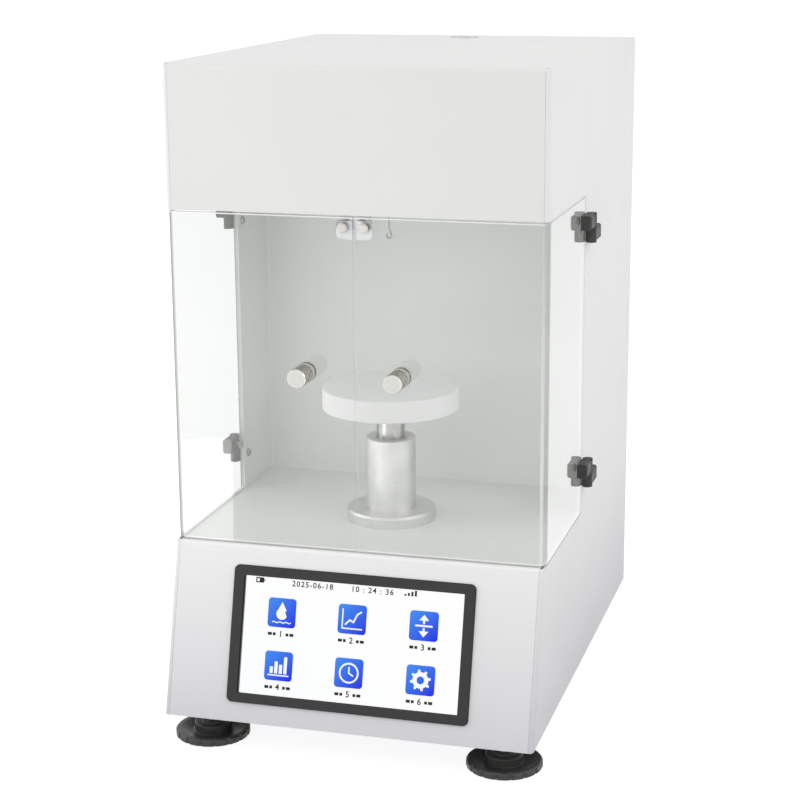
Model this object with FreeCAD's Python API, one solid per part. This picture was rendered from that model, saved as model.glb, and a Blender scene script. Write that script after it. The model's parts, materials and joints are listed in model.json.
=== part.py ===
import FreeCAD, Part
import math
import os

# Surface tensiometer: sheet-metal cabinet with a glazed draught chamber, a motor-driven sample stage,
# a weighing hook under the head and a touch display in the sloped front of the base.
#
# Cabinet datum used while modelling, in millimetres:
#   x = 0 on the mirror plane, y = 0 on the head's front face and growing to the rear,
#   z = 0 on the underside of the base.
# save() moves every piece to the delivered frame, whose origin is on the bench, under the middle.

V = FreeCAD.Vector

# Cabinet
WIDTH = 260.0
HEIGHT = 443.0
REAR_Y = 327.0
DECK_Z = 117.0
HEAD_Z = 346.7
SLOPE_FOOT_Y = -35.0
SLOPE_TOP_Y = -3.0
SIDE_EDGE_Y = 126.4
BACK_WALL_Y = 187.0
SHEET = 1.5
BEND_R = 3.0
SEAM = 0.3
SHEET_JOINT = 0.12
ROLL = 3.3
FLANGE = 12.0
FLANGE_INSET = 1.7
LEDGE_Y = 8.0

# Doors
PANE = 3.0
PANE_BEND_R = 6.5
DOOR_GAP = 1.2
DOOR_SEAM = 0.5
DOOR_REAR_Y = 125.5
KNOB_X = 32.7
KNOB_Z = 241.5
KNOB_R = 6.65
KNOB_LENGTH = 24.4
KEEPER_X = 7.2
KEEPER_Z = 338.6
KEEPER_T = 1.2
KEEPER_RIVET_R = 1.2
KEEPER_HOLE_R = 1.23

# Door hinges
PIVOT_X = 134.2
PIVOT_Y = 126.4
PIN_R = 1.5
PIN_FIT = 0.05
KNUCKLE_R = 3.6
HINGE_LEAF = 7.3
HINGE_SCREW_R = 1.4
HINGE_SCREW_DEPTH = 4.0
HINGE_LEAF_H = 10.2
HINGE_DOOR_Y = 108.0
HINGE_FRAME_Y = 148.0
HINGE_SCREW_Y = (118.0, 134.6)
HINGE_JOINT_Z = (148.0, 324.6)

# Magnetic catch
CATCH_HALF = 9.6
CATCH_Y = (4.7, 10.4)
CATCH_LOW_Z = 337.2
MAGNET_R = 3.0
MAGNET_T = 3.0
MAGNET_X = 5.4
MAGNET_Z = 341.2

# Sample stage and its drive, all on one vertical axis
STAGE_Y = 85.0
DISC_R = 48.3
DISC_T = 15.4
DISC_Z = 198.0
ROD_R = 10.0
ROD_BOTTOM_Z = 103.0
SPIGOT_R = 5.0
SPIGOT_H = 9.5
SPIGOT_FIT = 0.05
SLEEVE_R = 17.7
SLEEVE_TOP_Z = 177.2
FLANGE_R = 31.9
FLANGE_TOP_R = 30.7
FLANGE_H = 8.4
BUSH_R = 13.0
RUN_FIT = 0.06
SCREW_R = 4.0
SCREW_TOP_Z = 154.0
NUT_R = 7.0
NUT_H = 18.0
MOTOR_SIDE = 42.3
MOTOR_H = 40.0
MOTOR_TOP_Z = 48.0
MOTOR_SHAFT_R = 2.5
PILOT_R = 11.0
COUPLING_R = 9.5
COUPLING_Z = (58.0, 83.0)

# Weighing head
HOOK_HINGE_Z = 352.0
HOOK_WIRE_R = 0.6
HOOK_EYE_R = 1.5
HANGER_PIN_R = 0.8
HOOK_BOWL_R = 1.7
HOOK_BOTTOM_Z = 318.0
CELL_Y = (74.0, 149.0)
CELL_Z = (358.0, 380.0)
CELL_HALF_WIDTH = 6.0

# Display in the sloped front, in slope coordinates: x across, v up the slope, w out of it
BEZEL_W = 170.6
BEZEL_V = (13.6, 107.9)
BEZEL_R = 4.0
WINDOW_W = 155.5
WINDOW_V = (20.3, 101.0)
BEZEL_PROUD = 1.8

# Levelling feet
FOOT_DROP = 23.0
FEET = {"front_left": (-105.0, -8.0), "front_right": (105.0, -8.0),
        "rear_left": (-90.0, 296.0), "rear_right": (90.0, 296.0)}
FOOT_R = 26.0
STUD_R = 4.0
SCALLOPS = 16
SCALLOP_R = 1.8
SCALLOP_DEPTH = 1.1

# Rear connectors
INLET_X = 78.0
INLET_Z = 42.0
SWITCH_X = 36.0
SWITCH_HALF = (5.4, 8.6)
ROCKER_TILT = 6.0
ROCKER_PIVOT_DEPTH = 4.0
TRUNNION_R = 1.0
SERIAL_X = -60.0
SERIAL_Z = 42.0
SERIAL_PROUD = 6.0
COVER_SCREW_R = 1.5
COVER_HOLE_R = 1.6
COVER_SCREWS = [(x, z) for x in (-122.5, 122.5) for z in (60.0, 235.0, 410.0)]

# Bullseye level in the top cover
LEVEL_Y = 300.0
LEVEL_R = 11.4

Y_MID = (SLOPE_FOOT_Y + REAR_Y + SERIAL_PROUD) / 2
SLOPE_ANGLE = math.atan2(SLOPE_TOP_Y - SLOPE_FOOT_Y, DECK_Z)
SLOPE_LENGTH = math.hypot(SLOPE_TOP_Y - SLOPE_FOOT_Y, DECK_Z)
HALF = WIDTH / 2
INNER_HALF = HALF - ROLL - SHEET_JOINT
COVER_HALF = HALF - SHEET - SHEET_JOINT


# --- Helpers -------------------------------------------------------------------------------------

def save(node, *solids):
    """Write one sub-part, moved from the cabinet datum to the delivered frame."""
    shape = solids[0] if len(solids) == 1 else Part.makeCompound(list(solids))
    for solid in shape.Solids:
        if not solid.isValid():
            print("NOT VALID", node)
    shape = shape.copy()
    shape.translate(V(0, -Y_MID, FOOT_DROP))
    shape.exportStep("parts/%s.step" % node)
    box_ = shape.BoundBox
    print("%-24s %2d solid(s)  x %7.1f %7.1f  y %7.1f %7.1f  z %7.1f %7.1f" % (
        node, len(shape.Solids), box_.XMin, box_.XMax, box_.YMin, box_.YMax, box_.ZMin, box_.ZMax))


def box(x, y, z):
    """Block from (low, high) pairs."""
    return Part.makeBox(x[1] - x[0], y[1] - y[0], z[1] - z[0], V(x[0], y[0], z[0]))


def post(r, z, x=0.0, y=0.0):
    """Upright cylinder between two heights."""
    return Part.makeCylinder(r, z[1] - z[0], V(x, y, z[0]))


def bar_x(r, x, y, z):
    return Part.makeCylinder(r, x[1] - x[0], V(x[0], y, z), V(1, 0, 0))


def bar_y(r, y, x, z):
    return Part.makeCylinder(r, y[1] - y[0], V(x, y[0], z), V(0, 1, 0))


def mirrored(shape):
    return shape.mirror(V(0, 0, 0), V(1, 0, 0))


def to_plane(plane, u, v):
    """Point (u, v) of a named plane: first letter of the plane is u, second is v."""
    place = {plane[0]: u, plane[1]: v}
    return V(place.get("x", 0.0), place.get("y", 0.0), place.get("z", 0.0))


def path_edges(plane, points, radii, closed):
    """Straight runs joined by tangent arcs; radii holds one radius for each point."""
    count = len(points)
    ends = []
    for i, (u, v) in enumerate(points):
        here = to_plane(plane, u, v)
        if (not closed and i in (0, count - 1)) or radii[i] == 0:
            ends.append((here, here, None))
            continue
        before = (to_plane(plane, *points[i - 1]) - here).normalize()
        after = (to_plane(plane, *points[(i + 1) % count]) - here).normalize()
        half = before.getAngle(after) / 2
        reach = radii[i] / math.tan(half)
        middle = (before + after).normalize() * (radii[i] / math.sin(half) - radii[i])
        ends.append((here + before * reach, here + after * reach, here + middle))
    edges = []
    for i, (start, end, middle) in enumerate(ends):
        if middle is not None:
            edges.append(Part.Arc(start, middle, end).toShape())
        if i < count - 1 or closed:
            target = ends[(i + 1) % count][0]
            if end.distanceToPoint(target) > 1e-6:
                edges.append(Part.makeLine(end, target))
    return edges


def prism(plane, points, radii, extrude, offset=V(0, 0, 0)):
    """Solid from a closed outline with rounded corners."""
    if not isinstance(radii, (list, tuple)):
        radii = [radii] * len(points)
    wire = Part.Wire(Part.sortEdges(path_edges(plane, points, radii, True))[0])
    solid = Part.Face(wire).extrude(extrude)
    solid.translate(offset)
    return solid


def rectangle(x, y):
    return [(x[0], y[0]), (x[1], y[0]), (x[1], y[1]), (x[0], y[1])]


def offset_path(points, distance):
    """The open path moved sideways by distance, to the left of its direction, with mitred corners."""
    normals = []
    for (u0, v0), (u1, v1) in zip(points, points[1:]):
        length = math.hypot(u1 - u0, v1 - v0)
        normals.append(((v0 - v1) / length, (u1 - u0) / length))
    moved = []
    for i, (u, v) in enumerate(points):
        a = normals[max(i - 1, 0)]
        b = normals[min(i, len(normals) - 1)]
        scale = distance / (1 + a[0] * b[0] + a[1] * b[1])
        moved.append((u + (a[0] + b[0]) * scale, v + (a[1] + b[1]) * scale))
    return moved


def bent_sheet(plane, points, thickness, radius, extrude, offset=V(0, 0, 0)):
    """Folded sheet whose outer face follows points; the material lies on the left of the path."""
    outer = path_edges(plane, points, [radius] * len(points), False)
    inner_points = offset_path(points, thickness)
    inner = path_edges(plane, inner_points, [radius - thickness] * len(points), False)
    caps = [Part.makeLine(to_plane(plane, *points[i]), to_plane(plane, *inner_points[i]))
            for i in (0, -1)]
    wire = Part.Wire(Part.sortEdges(outer + inner + caps)[0])
    solid = Part.Face(wire).extrude(extrude)
    solid.translate(offset)
    return solid


def revolved(profile, x=0.0, y=0.0, z=0.0, axis=V(0, 0, 1)):
    """Turned part: profile is a closed list of (radius, height along the axis)."""
    wire = Part.makePolygon([V(r, 0, h) for r, h in profile + profile[:1]])
    solid = Part.Face(wire).revolve(V(0, 0, 0), V(0, 0, 1), 360)
    if solid.Volume < 0:
        solid.reverse()
    solid.Placement = FreeCAD.Placement(V(x, y, z), FreeCAD.Rotation(V(0, 0, 1), axis))
    return solid


def cut_all(solid, tools):
    return solid.cut(tools[0].multiFuse(tools[1:]) if len(tools) > 1 else tools[0])


def slot_tools(x_centres, z_centres, length, width, y):
    """Round-ended horizontal slots through a wall that faces the rear."""
    tools = []
    for x in x_centres:
        for z in z_centres:
            outline = rectangle((x - length / 2, x + length / 2), (z - width / 2, z + width / 2))
            tools.append(prism("xz", outline, width / 2 - 0.01, V(0, y[1] - y[0], 0), V(0, y[0], 0)))
    return tools


def on_slope(shape):
    """Place a shape drawn flat (x across, y up, z outwards) on the sloped front of the base."""
    placed = shape.copy()
    placed.rotate(V(0, 0, 0), V(1, 0, 0), 90 - math.degrees(SLOPE_ANGLE))
    placed.translate(V(0, SLOPE_FOOT_Y, 0))
    return placed


def pan_screw(position, axis, head_r, head_h, shank_r, shank):
    """Screw with a domed head and a cross recess; axis points out of the head."""
    profile = [(0, -shank), (shank_r, -shank), (shank_r, 0), (head_r, 0), (head_r, head_h * 0.55),
               (head_r * 0.72, head_h), (0, head_h)]
    screw = revolved(profile, position.x, position.y, position.z, axis)
    long, narrow, z = head_r * 0.5, 0.35, (head_h * 0.4, head_h + 1)
    cross = box((-long, long), (-narrow, narrow), z).fuse(box((-narrow, narrow), (-long, long), z))
    cross.Placement = FreeCAD.Placement(position, FreeCAD.Rotation(V(0, 0, 1), axis))
    return screw.cut(cross)


# --- Cabinet -------------------------------------------------------------------------------------

def rolled_side(outline, corner_radii):
    """Flat side sheet whose front edge, between the first two outline points, is rolled round."""
    roll_x = V(HALF - ROLL, 0, 0)
    block = prism("yz", outline, 0, V(ROLL, 0, 0), roll_x)
    (y0, z0), (y1, z1) = outline[:2]
    front = [e for e in block.Edges
             if all(abs(v.X - HALF) < 1e-6 for v in e.Vertexes)
             and {(round(v.Y, 3), round(v.Z, 3)) for v in e.Vertexes} == {
                 (round(y0, 3), round(z0, 3)), (round(y1, 3), round(z1, 3))}]
    block = block.makeFillet(BEND_R, front)
    reach = 0.2
    low = (y0 - (y1 - y0) * reach, z0 - (z1 - z0) * reach)
    high = (y1 + (y1 - y0) * reach, z1 + (z1 - z0) * reach)
    inward = SHEET / math.cos(math.atan2(y1 - y0, z1 - z0))
    hollow_outline = [(low[0] + inward, low[1]), (high[0] + inward, high[1]),
                      (REAR_Y + FLANGE, high[1]), (REAR_Y + FLANGE, low[1])]
    hollow = prism("yz", hollow_outline, 0, V(ROLL, 0, 0), roll_x - V(SHEET, 0, 0))
    inner = [e for e in hollow.Edges
             if all(abs(v.X - HALF + SHEET) < 1e-6 and v.Y < BACK_WALL_Y for v in e.Vertexes)]
    hollow = hollow.makeFillet(BEND_R - SHEET, inner)
    silhouette = prism("yz", outline, corner_radii, V(ROLL, 0, 0), roll_x)
    return block.cut(hollow).common(silhouette)


def frame_screw_holes():
    """Holes through the right-hand wall for the screws of the lower hinge halves."""
    return [bar_x(HINGE_SCREW_R + 0.1, (HALF - 5, HALF + 1), HINGE_SCREW_Y[1], joint_z - HINGE_LEAF_H / 2)
            for joint_z in HINGE_JOINT_Z]


def side_panel():
    """Right-hand side: one C-shaped sheet round the chamber, with inset flanges for the covers."""
    base = rolled_side([(SLOPE_FOOT_Y, 0), (SLOPE_TOP_Y, DECK_Z), (REAR_Y, DECK_Z), (REAR_Y, 0)],
                       [0, BEND_R, 0, 0])
    head = rolled_side([(0, HEAD_Z), (0, HEIGHT), (REAR_Y, HEIGHT), (REAR_Y, HEAD_Z)],
                       [0, BEND_R, 0, 0])
    column = box((HALF - SHEET, HALF), (SIDE_EDGE_Y, REAR_Y), (DECK_Z, HEAD_Z))
    reach_x = (HALF - FLANGE, HALF - SHEET)
    inset_rear = REAR_Y - FLANGE_INSET
    inset_top = HEIGHT - FLANGE_INSET
    flanges = [
        box(reach_x, (8, inset_rear), (inset_top - SHEET, inset_top)),
        box(reach_x, (inset_rear - SHEET, inset_rear), (FLANGE, inset_top)),
        box(reach_x, (SLOPE_FOOT_Y + FLANGE, inset_rear), (FLANGE_INSET, FLANGE_INSET + SHEET)),
    ]
    panel = base.multiFuse([head, column] + flanges).removeSplitter()
    return cut_all(panel, frame_screw_holes())


def head_cover():
    """Front and top of the head in one folded sheet, with stiffening returns behind the front."""
    front_top = [(0, HEAD_Z), (0, HEIGHT), (REAR_Y, HEIGHT)]
    sheet = bent_sheet("yz", [(-y, z) for y, z in front_top], SHEET, BEND_R, V(2 * INNER_HALF, 0, 0))
    sheet = sheet.mirror(V(0, 0, 0), V(0, 1, 0))
    sheet.translate(V(-INNER_HALF, 0, 0))
    extras = []
    for side in (-1, 1):
        wing = sorted((side * INNER_HALF, side * COVER_HALF))
        extras.append(box(wing, (BEND_R + 1, REAR_Y), (HEIGHT - SHEET, HEIGHT)))
        turn = sorted((side * INNER_HALF, side * (INNER_HALF - SHEET)))
        extras.append(box(turn, (SHEET, FLANGE), (HEAD_Z + 4, HEIGHT - BEND_R - 1)))
    sheet = sheet.multiFuse(extras).removeSplitter()
    return sheet.cut(post(LEVEL_R - 1.8, (HEIGHT - 5, HEIGHT + 5), 0, LEVEL_Y))


def head_floor():
    """Underside of the head: tray with a front upstand and the opening for the weighing hook."""
    front = SHEET + SEAM
    path = [(-front, HEAD_Z + FLANGE), (-front, HEAD_Z), (-(BACK_WALL_Y + SHEET - 0.2), HEAD_Z)]
    floor = bent_sheet("yz", path[::-1], SHEET, 2.5, V(2 * INNER_HALF - 2 * SHEET - 1, 0, 0))
    floor = floor.mirror(V(0, 0, 0), V(0, 1, 0))
    floor.translate(V(-INNER_HALF + SHEET + 0.5, 0, 0))
    wings = [box(sorted((s * (INNER_HALF - SHEET - 0.5), s * COVER_HALF)),
                 (FLANGE + SEAM, BACK_WALL_Y + SHEET - 0.2), (HEAD_Z, HEAD_Z + SHEET)) for s in (-1, 1)]
    floor = floor.multiFuse(wings).removeSplitter()
    return floor.cut(post(7.0, (HEAD_Z - 5, HEAD_Z + 5), 0, STAGE_Y))


def chamber_liner():
    """U-shaped liner: the chamber's back wall with both side walls, inside the side panels."""
    edge = HALF - SHEET - 0.1
    rear = BACK_WALL_Y + SHEET
    path = [(edge, SIDE_EDGE_Y), (edge, rear), (-edge, rear), (-edge, SIDE_EDGE_Y)]
    liner = bent_sheet("xy", path, SHEET, 2.5, V(0, 0, HEAD_Z - DECK_Z), V(0, 0, DECK_Z))
    holes = frame_screw_holes()
    return cut_all(liner, holes + [mirrored(hole) for hole in holes])


def deck_plate():
    """Chamber floor with a folded front edge and the passage for the lift column."""
    front = LEDGE_Y + SEAM
    path = [(front, DECK_Z - FLANGE), (front, DECK_Z), (BACK_WALL_Y + SHEET, DECK_Z)]
    deck = bent_sheet("yz", [(-y, z) for y, z in path], SHEET, 2.5, V(2 * COVER_HALF, 0, 0))
    deck = deck.mirror(V(0, 0, 0), V(0, 1, 0))
    deck.translate(V(-COVER_HALF, 0, 0))
    return deck.cut(post(BUSH_R, (DECK_Z - 5, DECK_Z + 5), 0, STAGE_Y))


def base_front():
    """Sloped front of the base, folded over into the ledge under the doors, with the display opening."""
    path = [(SLOPE_FOOT_Y, 0), (SLOPE_TOP_Y, DECK_Z), (LEDGE_Y, DECK_Z)]
    front = bent_sheet("yz", [(-y, z) for y, z in path], SHEET, BEND_R, V(2 * INNER_HALF, 0, 0))
    front = front.mirror(V(0, 0, 0), V(0, 1, 0))
    front.translate(V(-INNER_HALF, 0, 0))
    front = front.common(box((-HALF, HALF), (SLOPE_FOOT_Y - 1, LEDGE_Y + 1), (0, DECK_Z)))
    opening = prism("xy", rectangle((-BEZEL_W / 2 + 2.5, BEZEL_W / 2 - 2.5),
                                    (BEZEL_V[0] + 2.5, BEZEL_V[1] - 2.5)), 2.0, V(0, 0, 20), V(0, 0, -10))
    return front.cut(on_slope(opening))


def base_plate():
    """Bottom plate with front and rear upstands, foot holes and cooling slots."""
    slope = math.tan(SLOPE_ANGLE)
    inward = (SHEET + SEAM) / math.cos(SLOPE_ANGLE)
    front_low = SLOPE_FOOT_Y + inward
    rear = REAR_Y - SHEET - SEAM
    path = [(rear, FLANGE), (rear, 0), (front_low, 0), (front_low + FLANGE * slope, FLANGE)]
    plate = bent_sheet("yz", path[::-1], SHEET, 2.5, V(2 * (HALF - FLANGE - 1), 0, 0))
    plate.translate(V(-(HALF - FLANGE - 1), 0, 0))
    for side in (-1, 1):
        edge = sorted((side * (HALF - FLANGE - 1), side * COVER_HALF))
        plate = plate.fuse(box(edge, (front_low + 2, rear - 2), (0, SHEET)))
    tools = [post(6.0, (-5, 5), x, y) for x, y in FEET.values()]
    for i in range(7):
        y = 150.0 + 9.0 * i
        tools.append(prism("xy", rectangle((40, 90), (y, y + 4)), 1.99, V(0, 0, 10), V(0, 0, -5)))
    return cut_all(plate.removeSplitter(), tools)


def rear_panel():
    """Rear cover with louvre slots and the connector openings."""
    y = (REAR_Y - SHEET, REAR_Y)
    panel = box((-COVER_HALF, COVER_HALF), y, (0, HEIGHT - SHEET - SEAM))
    through = (y[0] - 5, y[1] + 5)
    tools = slot_tools((-60, 0, 60), [380 - 9 * i for i in range(6)], 44, 4, through)
    tools += slot_tools((-60, 0, 60), [150 - 9 * i for i in range(6)], 44, 4, through)
    tools.append(box((INLET_X - 14, INLET_X + 14), through, (INLET_Z - 10.5, INLET_Z + 10.5)))
    tools.append(box((SWITCH_X - 6.6, SWITCH_X + 6.6), through, (INLET_Z - 9.8, INLET_Z + 9.8)))
    tools.append(box((SERIAL_X - 10, SERIAL_X + 10), through, (SERIAL_Z - 5.5, SERIAL_Z + 5.5)))
    tools += [bar_y(COVER_HOLE_R, through, x, z) for x, z in COVER_SCREWS]
    return cut_all(panel, tools)


def cover_screws():
    """Machine screws that hold the rear cover on the side panels' flanges."""
    return [pan_screw(V(x, REAR_Y, z), V(0, 1, 0), 3.0, 1.8, COVER_SCREW_R, SHEET) for x, z in COVER_SCREWS]


# --- Doors ---------------------------------------------------------------------------------------

def door_leaf_centres():
    return [joint_z + SEAM + HINGE_LEAF_H / 2 for joint_z in HINGE_JOINT_Z]


def door_pane():
    """Right-hand door: one clear sheet folded round the front corner of the chamber."""
    path = [(DOOR_SEAM, 0), (HALF, 0), (HALF, DOOR_REAR_Y)]
    z = (DECK_Z + DOOR_GAP, HEAD_Z - DOOR_GAP)
    pane = bent_sheet("xy", path, PANE, PANE_BEND_R, V(0, 0, z[1] - z[0]), V(0, 0, z[0]))
    holes = [bar_y(2.1, (-5, 10), KNOB_X, KNOB_Z), bar_y(KEEPER_HOLE_R, (-5, 10), KEEPER_X, KEEPER_Z)]
    holes += [bar_x(HINGE_SCREW_R + 0.1, (HALF - 5, HALF + 1), HINGE_SCREW_Y[0], z)
              for z in door_leaf_centres()]
    return cut_all(pane, holes)


def door_knob():
    """Turned door pull: neck on the pane, polished collar, long grip and bevelled face."""
    length = KNOB_LENGTH
    grip_r = KNOB_R - 0.2
    profile = [(0, 0), (5.4, 0), (5.4, 1.2), (grip_r - 0.3, 1.2), (KNOB_R, 1.7), (KNOB_R, 3.9),
               (grip_r - 0.3, 4.4), (grip_r - 0.6, 4.4), (grip_r - 0.6, 5.0), (grip_r, 5.4),
               (grip_r, length - 0.9), (grip_r - 0.5, length), (0, length)]
    return revolved(profile, KNOB_X, 0, KNOB_Z, V(0, -1, 0))


def strike_plate():
    """Steel keeper at the door's top inner corner, one corner rounded, with its rivet hole."""
    x = (1.2, 12.2)
    z = (330.5, 343.0)
    points = [(x[0], z[0]), (x[1], z[0]), (x[1], z[1]), (x[0], z[1])]
    plate = prism("xz", points, [0.5, 3.5, 2.0, 0.5], V(0, KEEPER_T, 0), V(0, PANE, 0))
    return plate.cut(bar_y(KEEPER_HOLE_R, (PANE - 1, PANE + 5), KEEPER_X, KEEPER_Z))


def door_screws():
    """The right-hand door's knob screw, keeper rivet and the screws of its hinge halves."""
    knob = pan_screw(V(KNOB_X, PANE, KNOB_Z), V(0, 1, 0), 4.5, 2.2, 2.0, PANE)
    back = PANE + KEEPER_T
    profile = [(0, -1.3), (2.4, -1.3), (3.4, -0.7), (3.4, 0), (KEEPER_RIVET_R, 0), (KEEPER_RIVET_R, back),
               (3.0, back), (3.0, back + 0.3), (0, back + 0.3)]
    rivet = revolved(profile, KEEPER_X, 0, KEEPER_Z, V(0, 1, 0))
    hinge_screws = [hinge_screw(HALF - PANE, HINGE_SCREW_Y[0], z) for z in door_leaf_centres()]
    return [knob, rivet] + hinge_screws


def hinge_leaf(y_far, low, high):
    """Outer hinge leaf: block on the outside of the wall, running into the knuckle on the pivot."""
    direction = 1 if y_far > PIVOT_Y else -1
    near = PIVOT_Y + direction * 0.4
    y = sorted((near, y_far))
    leaf = box((HALF, HALF + HINGE_LEAF), y, (low, high))
    far_edges = [e for e in leaf.Edges
                 if all(abs(v.X - HALF - HINGE_LEAF) < 1e-6 for v in e.Vertexes)]
    leaf = leaf.makeChamfer(1.2, far_edges)
    relief = box((HALF - 1, PIVOT_X), sorted((near - direction, PIVOT_Y + direction * 4.2)), (low, high))
    if direction < 0:
        leaf = leaf.cut(relief.cut(post(KNUCKLE_R, (low, high), PIVOT_X, PIVOT_Y)))
    return leaf.fuse(post(KNUCKLE_R, (low, high), PIVOT_X, PIVOT_Y)).removeSplitter()


def hinge_screw(wall_face, y, z):
    """Screw from inside the chamber, through the wall into a hinge leaf."""
    shank = HALF - wall_face + HINGE_SCREW_DEPTH
    return pan_screw(V(wall_face, y, z), V(-1, 0, 0), 3.0, 1.8, HINGE_SCREW_R, shank)


def leaf_screw_hole(y, z):
    return bar_x(HINGE_SCREW_R, (HALF - 1, HALF + HINGE_SCREW_DEPTH), y, z)


def door_hinge_halves():
    """Upper halves of the right-hand hinges, which the door lifts off with."""
    solids = []
    for joint_z in HINGE_JOINT_Z:
        low = joint_z + SEAM
        high = low + HINGE_LEAF_H
        leaf = hinge_leaf(HINGE_DOOR_Y, low, high)
        solids.append(cut_all(leaf, [post(PIN_R + PIN_FIT, (low - 1, high - 1.5), PIVOT_X, PIVOT_Y),
                                     leaf_screw_hole(HINGE_SCREW_Y[0], (low + high) / 2)]))
    return solids


def frame_hinge_halves():
    """Lower halves of the right-hand hinges, screwed to the chamber's side wall."""
    solids = []
    for joint_z in HINGE_JOINT_Z:
        low = joint_z - HINGE_LEAF_H
        leaf = hinge_leaf(HINGE_FRAME_Y, low, joint_z)
        solids.append(cut_all(leaf, [post(PIN_R, (low + 1.5, joint_z + 1), PIVOT_X, PIVOT_Y),
                                     leaf_screw_hole(HINGE_SCREW_Y[1], low + HINGE_LEAF_H / 2)]))
    return solids


def hinge_pins():
    """Pins of the right-hand hinges, with the screws that hold the lower halves."""
    wall_face = HALF - 2 * SHEET - 0.1
    solids = []
    for joint_z in HINGE_JOINT_Z:
        z = (joint_z - HINGE_LEAF_H + 1.5, joint_z + HINGE_LEAF_H - 2.0)
        solids.append(post(PIN_R, z, PIVOT_X, PIVOT_Y))
        solids.append(hinge_screw(wall_face, HINGE_SCREW_Y[1], joint_z - HINGE_LEAF_H / 2))
    return solids


def magnet_catch():
    """Catch housing under the head, just behind the keepers, with two magnet pockets."""
    housing = box((-CATCH_HALF, CATCH_HALF), CATCH_Y, (CATCH_LOW_Z, HEAD_Z))
    housing = housing.makeFillet(1.0, [e for e in housing.Edges
                                       if all(abs(v.Z - CATCH_LOW_Z) < 1e-6 for v in e.Vertexes)])
    return cut_all(housing, catch_magnets())


def catch_magnets():
    return [bar_y(MAGNET_R, (CATCH_Y[0], CATCH_Y[0] + MAGNET_T), x, MAGNET_Z) for x in (-MAGNET_X, MAGNET_X)]


# --- Sample stage --------------------------------------------------------------------------------

def stage_disc():
    disc = post(DISC_R, (DISC_Z, DISC_Z + DISC_T), 0, STAGE_Y)
    disc = disc.makeFillet(1.0, [e for e in disc.Edges if e.Closed])
    return disc.cut(post(SPIGOT_R + SPIGOT_FIT, (DISC_Z - 1, DISC_Z + SPIGOT_H), 0, STAGE_Y))


def lift_rod():
    """Hollow rod: spigot for the disc on top, nut seat and screw clearance below, keyway behind."""
    rod = post(ROD_R, (ROD_BOTTOM_Z, DISC_Z), 0, STAGE_Y)
    rod = rod.fuse(post(SPIGOT_R, (DISC_Z, DISC_Z + SPIGOT_H), 0, STAGE_Y))
    seat = post(NUT_R, (ROD_BOTTOM_Z - 1, ROD_BOTTOM_Z + NUT_H), 0, STAGE_Y)
    clearance = post(SCREW_R + 1.5, (ROD_BOTTOM_Z, SCREW_TOP_Z + 21), 0, STAGE_Y)
    keyway = box((-2, 2), (STAGE_Y + ROD_R - 2, STAGE_Y + ROD_R + 1), (ROD_BOTTOM_Z - 1, SLEEVE_TOP_Z + 14))
    return rod.cut(seat).cut(clearance).cut(keyway).removeSplitter()


def lift_nut():
    nut = post(NUT_R, (ROD_BOTTOM_Z, ROD_BOTTOM_Z + NUT_H), 0, STAGE_Y)
    return nut.cut(post(SCREW_R + RUN_FIT, (ROD_BOTTOM_Z - 1, ROD_BOTTOM_Z + NUT_H + 1), 0, STAGE_Y))


def column_flange():
    """Turned foot of the lift column, chamfered round the top."""
    profile = [(ROD_R + 0.8, 0), (FLANGE_R, 0), (FLANGE_R, FLANGE_H - 1.6), (FLANGE_TOP_R, FLANGE_H),
               (ROD_R + 0.8, FLANGE_H)]
    return revolved(profile, 0, STAGE_Y, DECK_Z)


def column_sleeve():
    z0 = DECK_Z + FLANGE_H
    profile = [(BUSH_R, 0), (SLEEVE_R, 0), (SLEEVE_R, SLEEVE_TOP_Z - z0 - 0.8),
               (SLEEVE_R - 0.8, SLEEVE_TOP_Z - z0), (BUSH_R, SLEEVE_TOP_Z - z0)]
    return revolved(profile, 0, STAGE_Y, z0)


def guide_bushings():
    """Plain bearings at both ends of the sleeve; the lower one carries the anti-rotation key."""
    bushes = []
    z0 = DECK_Z + FLANGE_H
    for z in ((z0, z0 + 14), (SLEEVE_TOP_Z - 14, SLEEVE_TOP_Z)):
        ring = post(BUSH_R, z, 0, STAGE_Y)
        bushes.append(ring.cut(post(ROD_R + RUN_FIT, (z[0] - 1, z[1] + 1), 0, STAGE_Y)))
    key = box((-1.9, 1.9), (STAGE_Y + ROD_R - 1.8, STAGE_Y + ROD_R + 1), (z0, z0 + 14))
    bushes[0] = bushes[0].fuse(key).removeSplitter()
    return bushes


def lead_screw():
    profile = [(0, 0), (SCREW_R, 0), (SCREW_R, SCREW_TOP_Z - 71.0), (SCREW_R - 1, SCREW_TOP_Z - 70.0),
               (0, SCREW_TOP_Z - 70.0)]
    return revolved(profile, 0, STAGE_Y, 70.0)


def shaft_coupling():
    """Clamp coupling between motor shaft and lead screw, with helical relief grooves."""
    coupling = post(COUPLING_R, COUPLING_Z, 0, STAGE_Y)
    tools = [post(MOTOR_SHAFT_R, (COUPLING_Z[0] - 1, 70.0), 0, STAGE_Y),
             post(SCREW_R + SPIGOT_FIT, (70.0, COUPLING_Z[1] + 1), 0, STAGE_Y)]
    for i in range(3):
        z = 66.5 + 3.0 * i
        groove = post(COUPLING_R + 1, (z, z + 1.0), 0, STAGE_Y)
        tools.append(groove.cut(post(COUPLING_R - 2.5, (z, z + 1.0), 0, STAGE_Y)))
    return cut_all(coupling, tools)


def motor_shaft():
    return post(MOTOR_SHAFT_R, (MOTOR_TOP_Z - 12, 70.0), 0, STAGE_Y)


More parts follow.
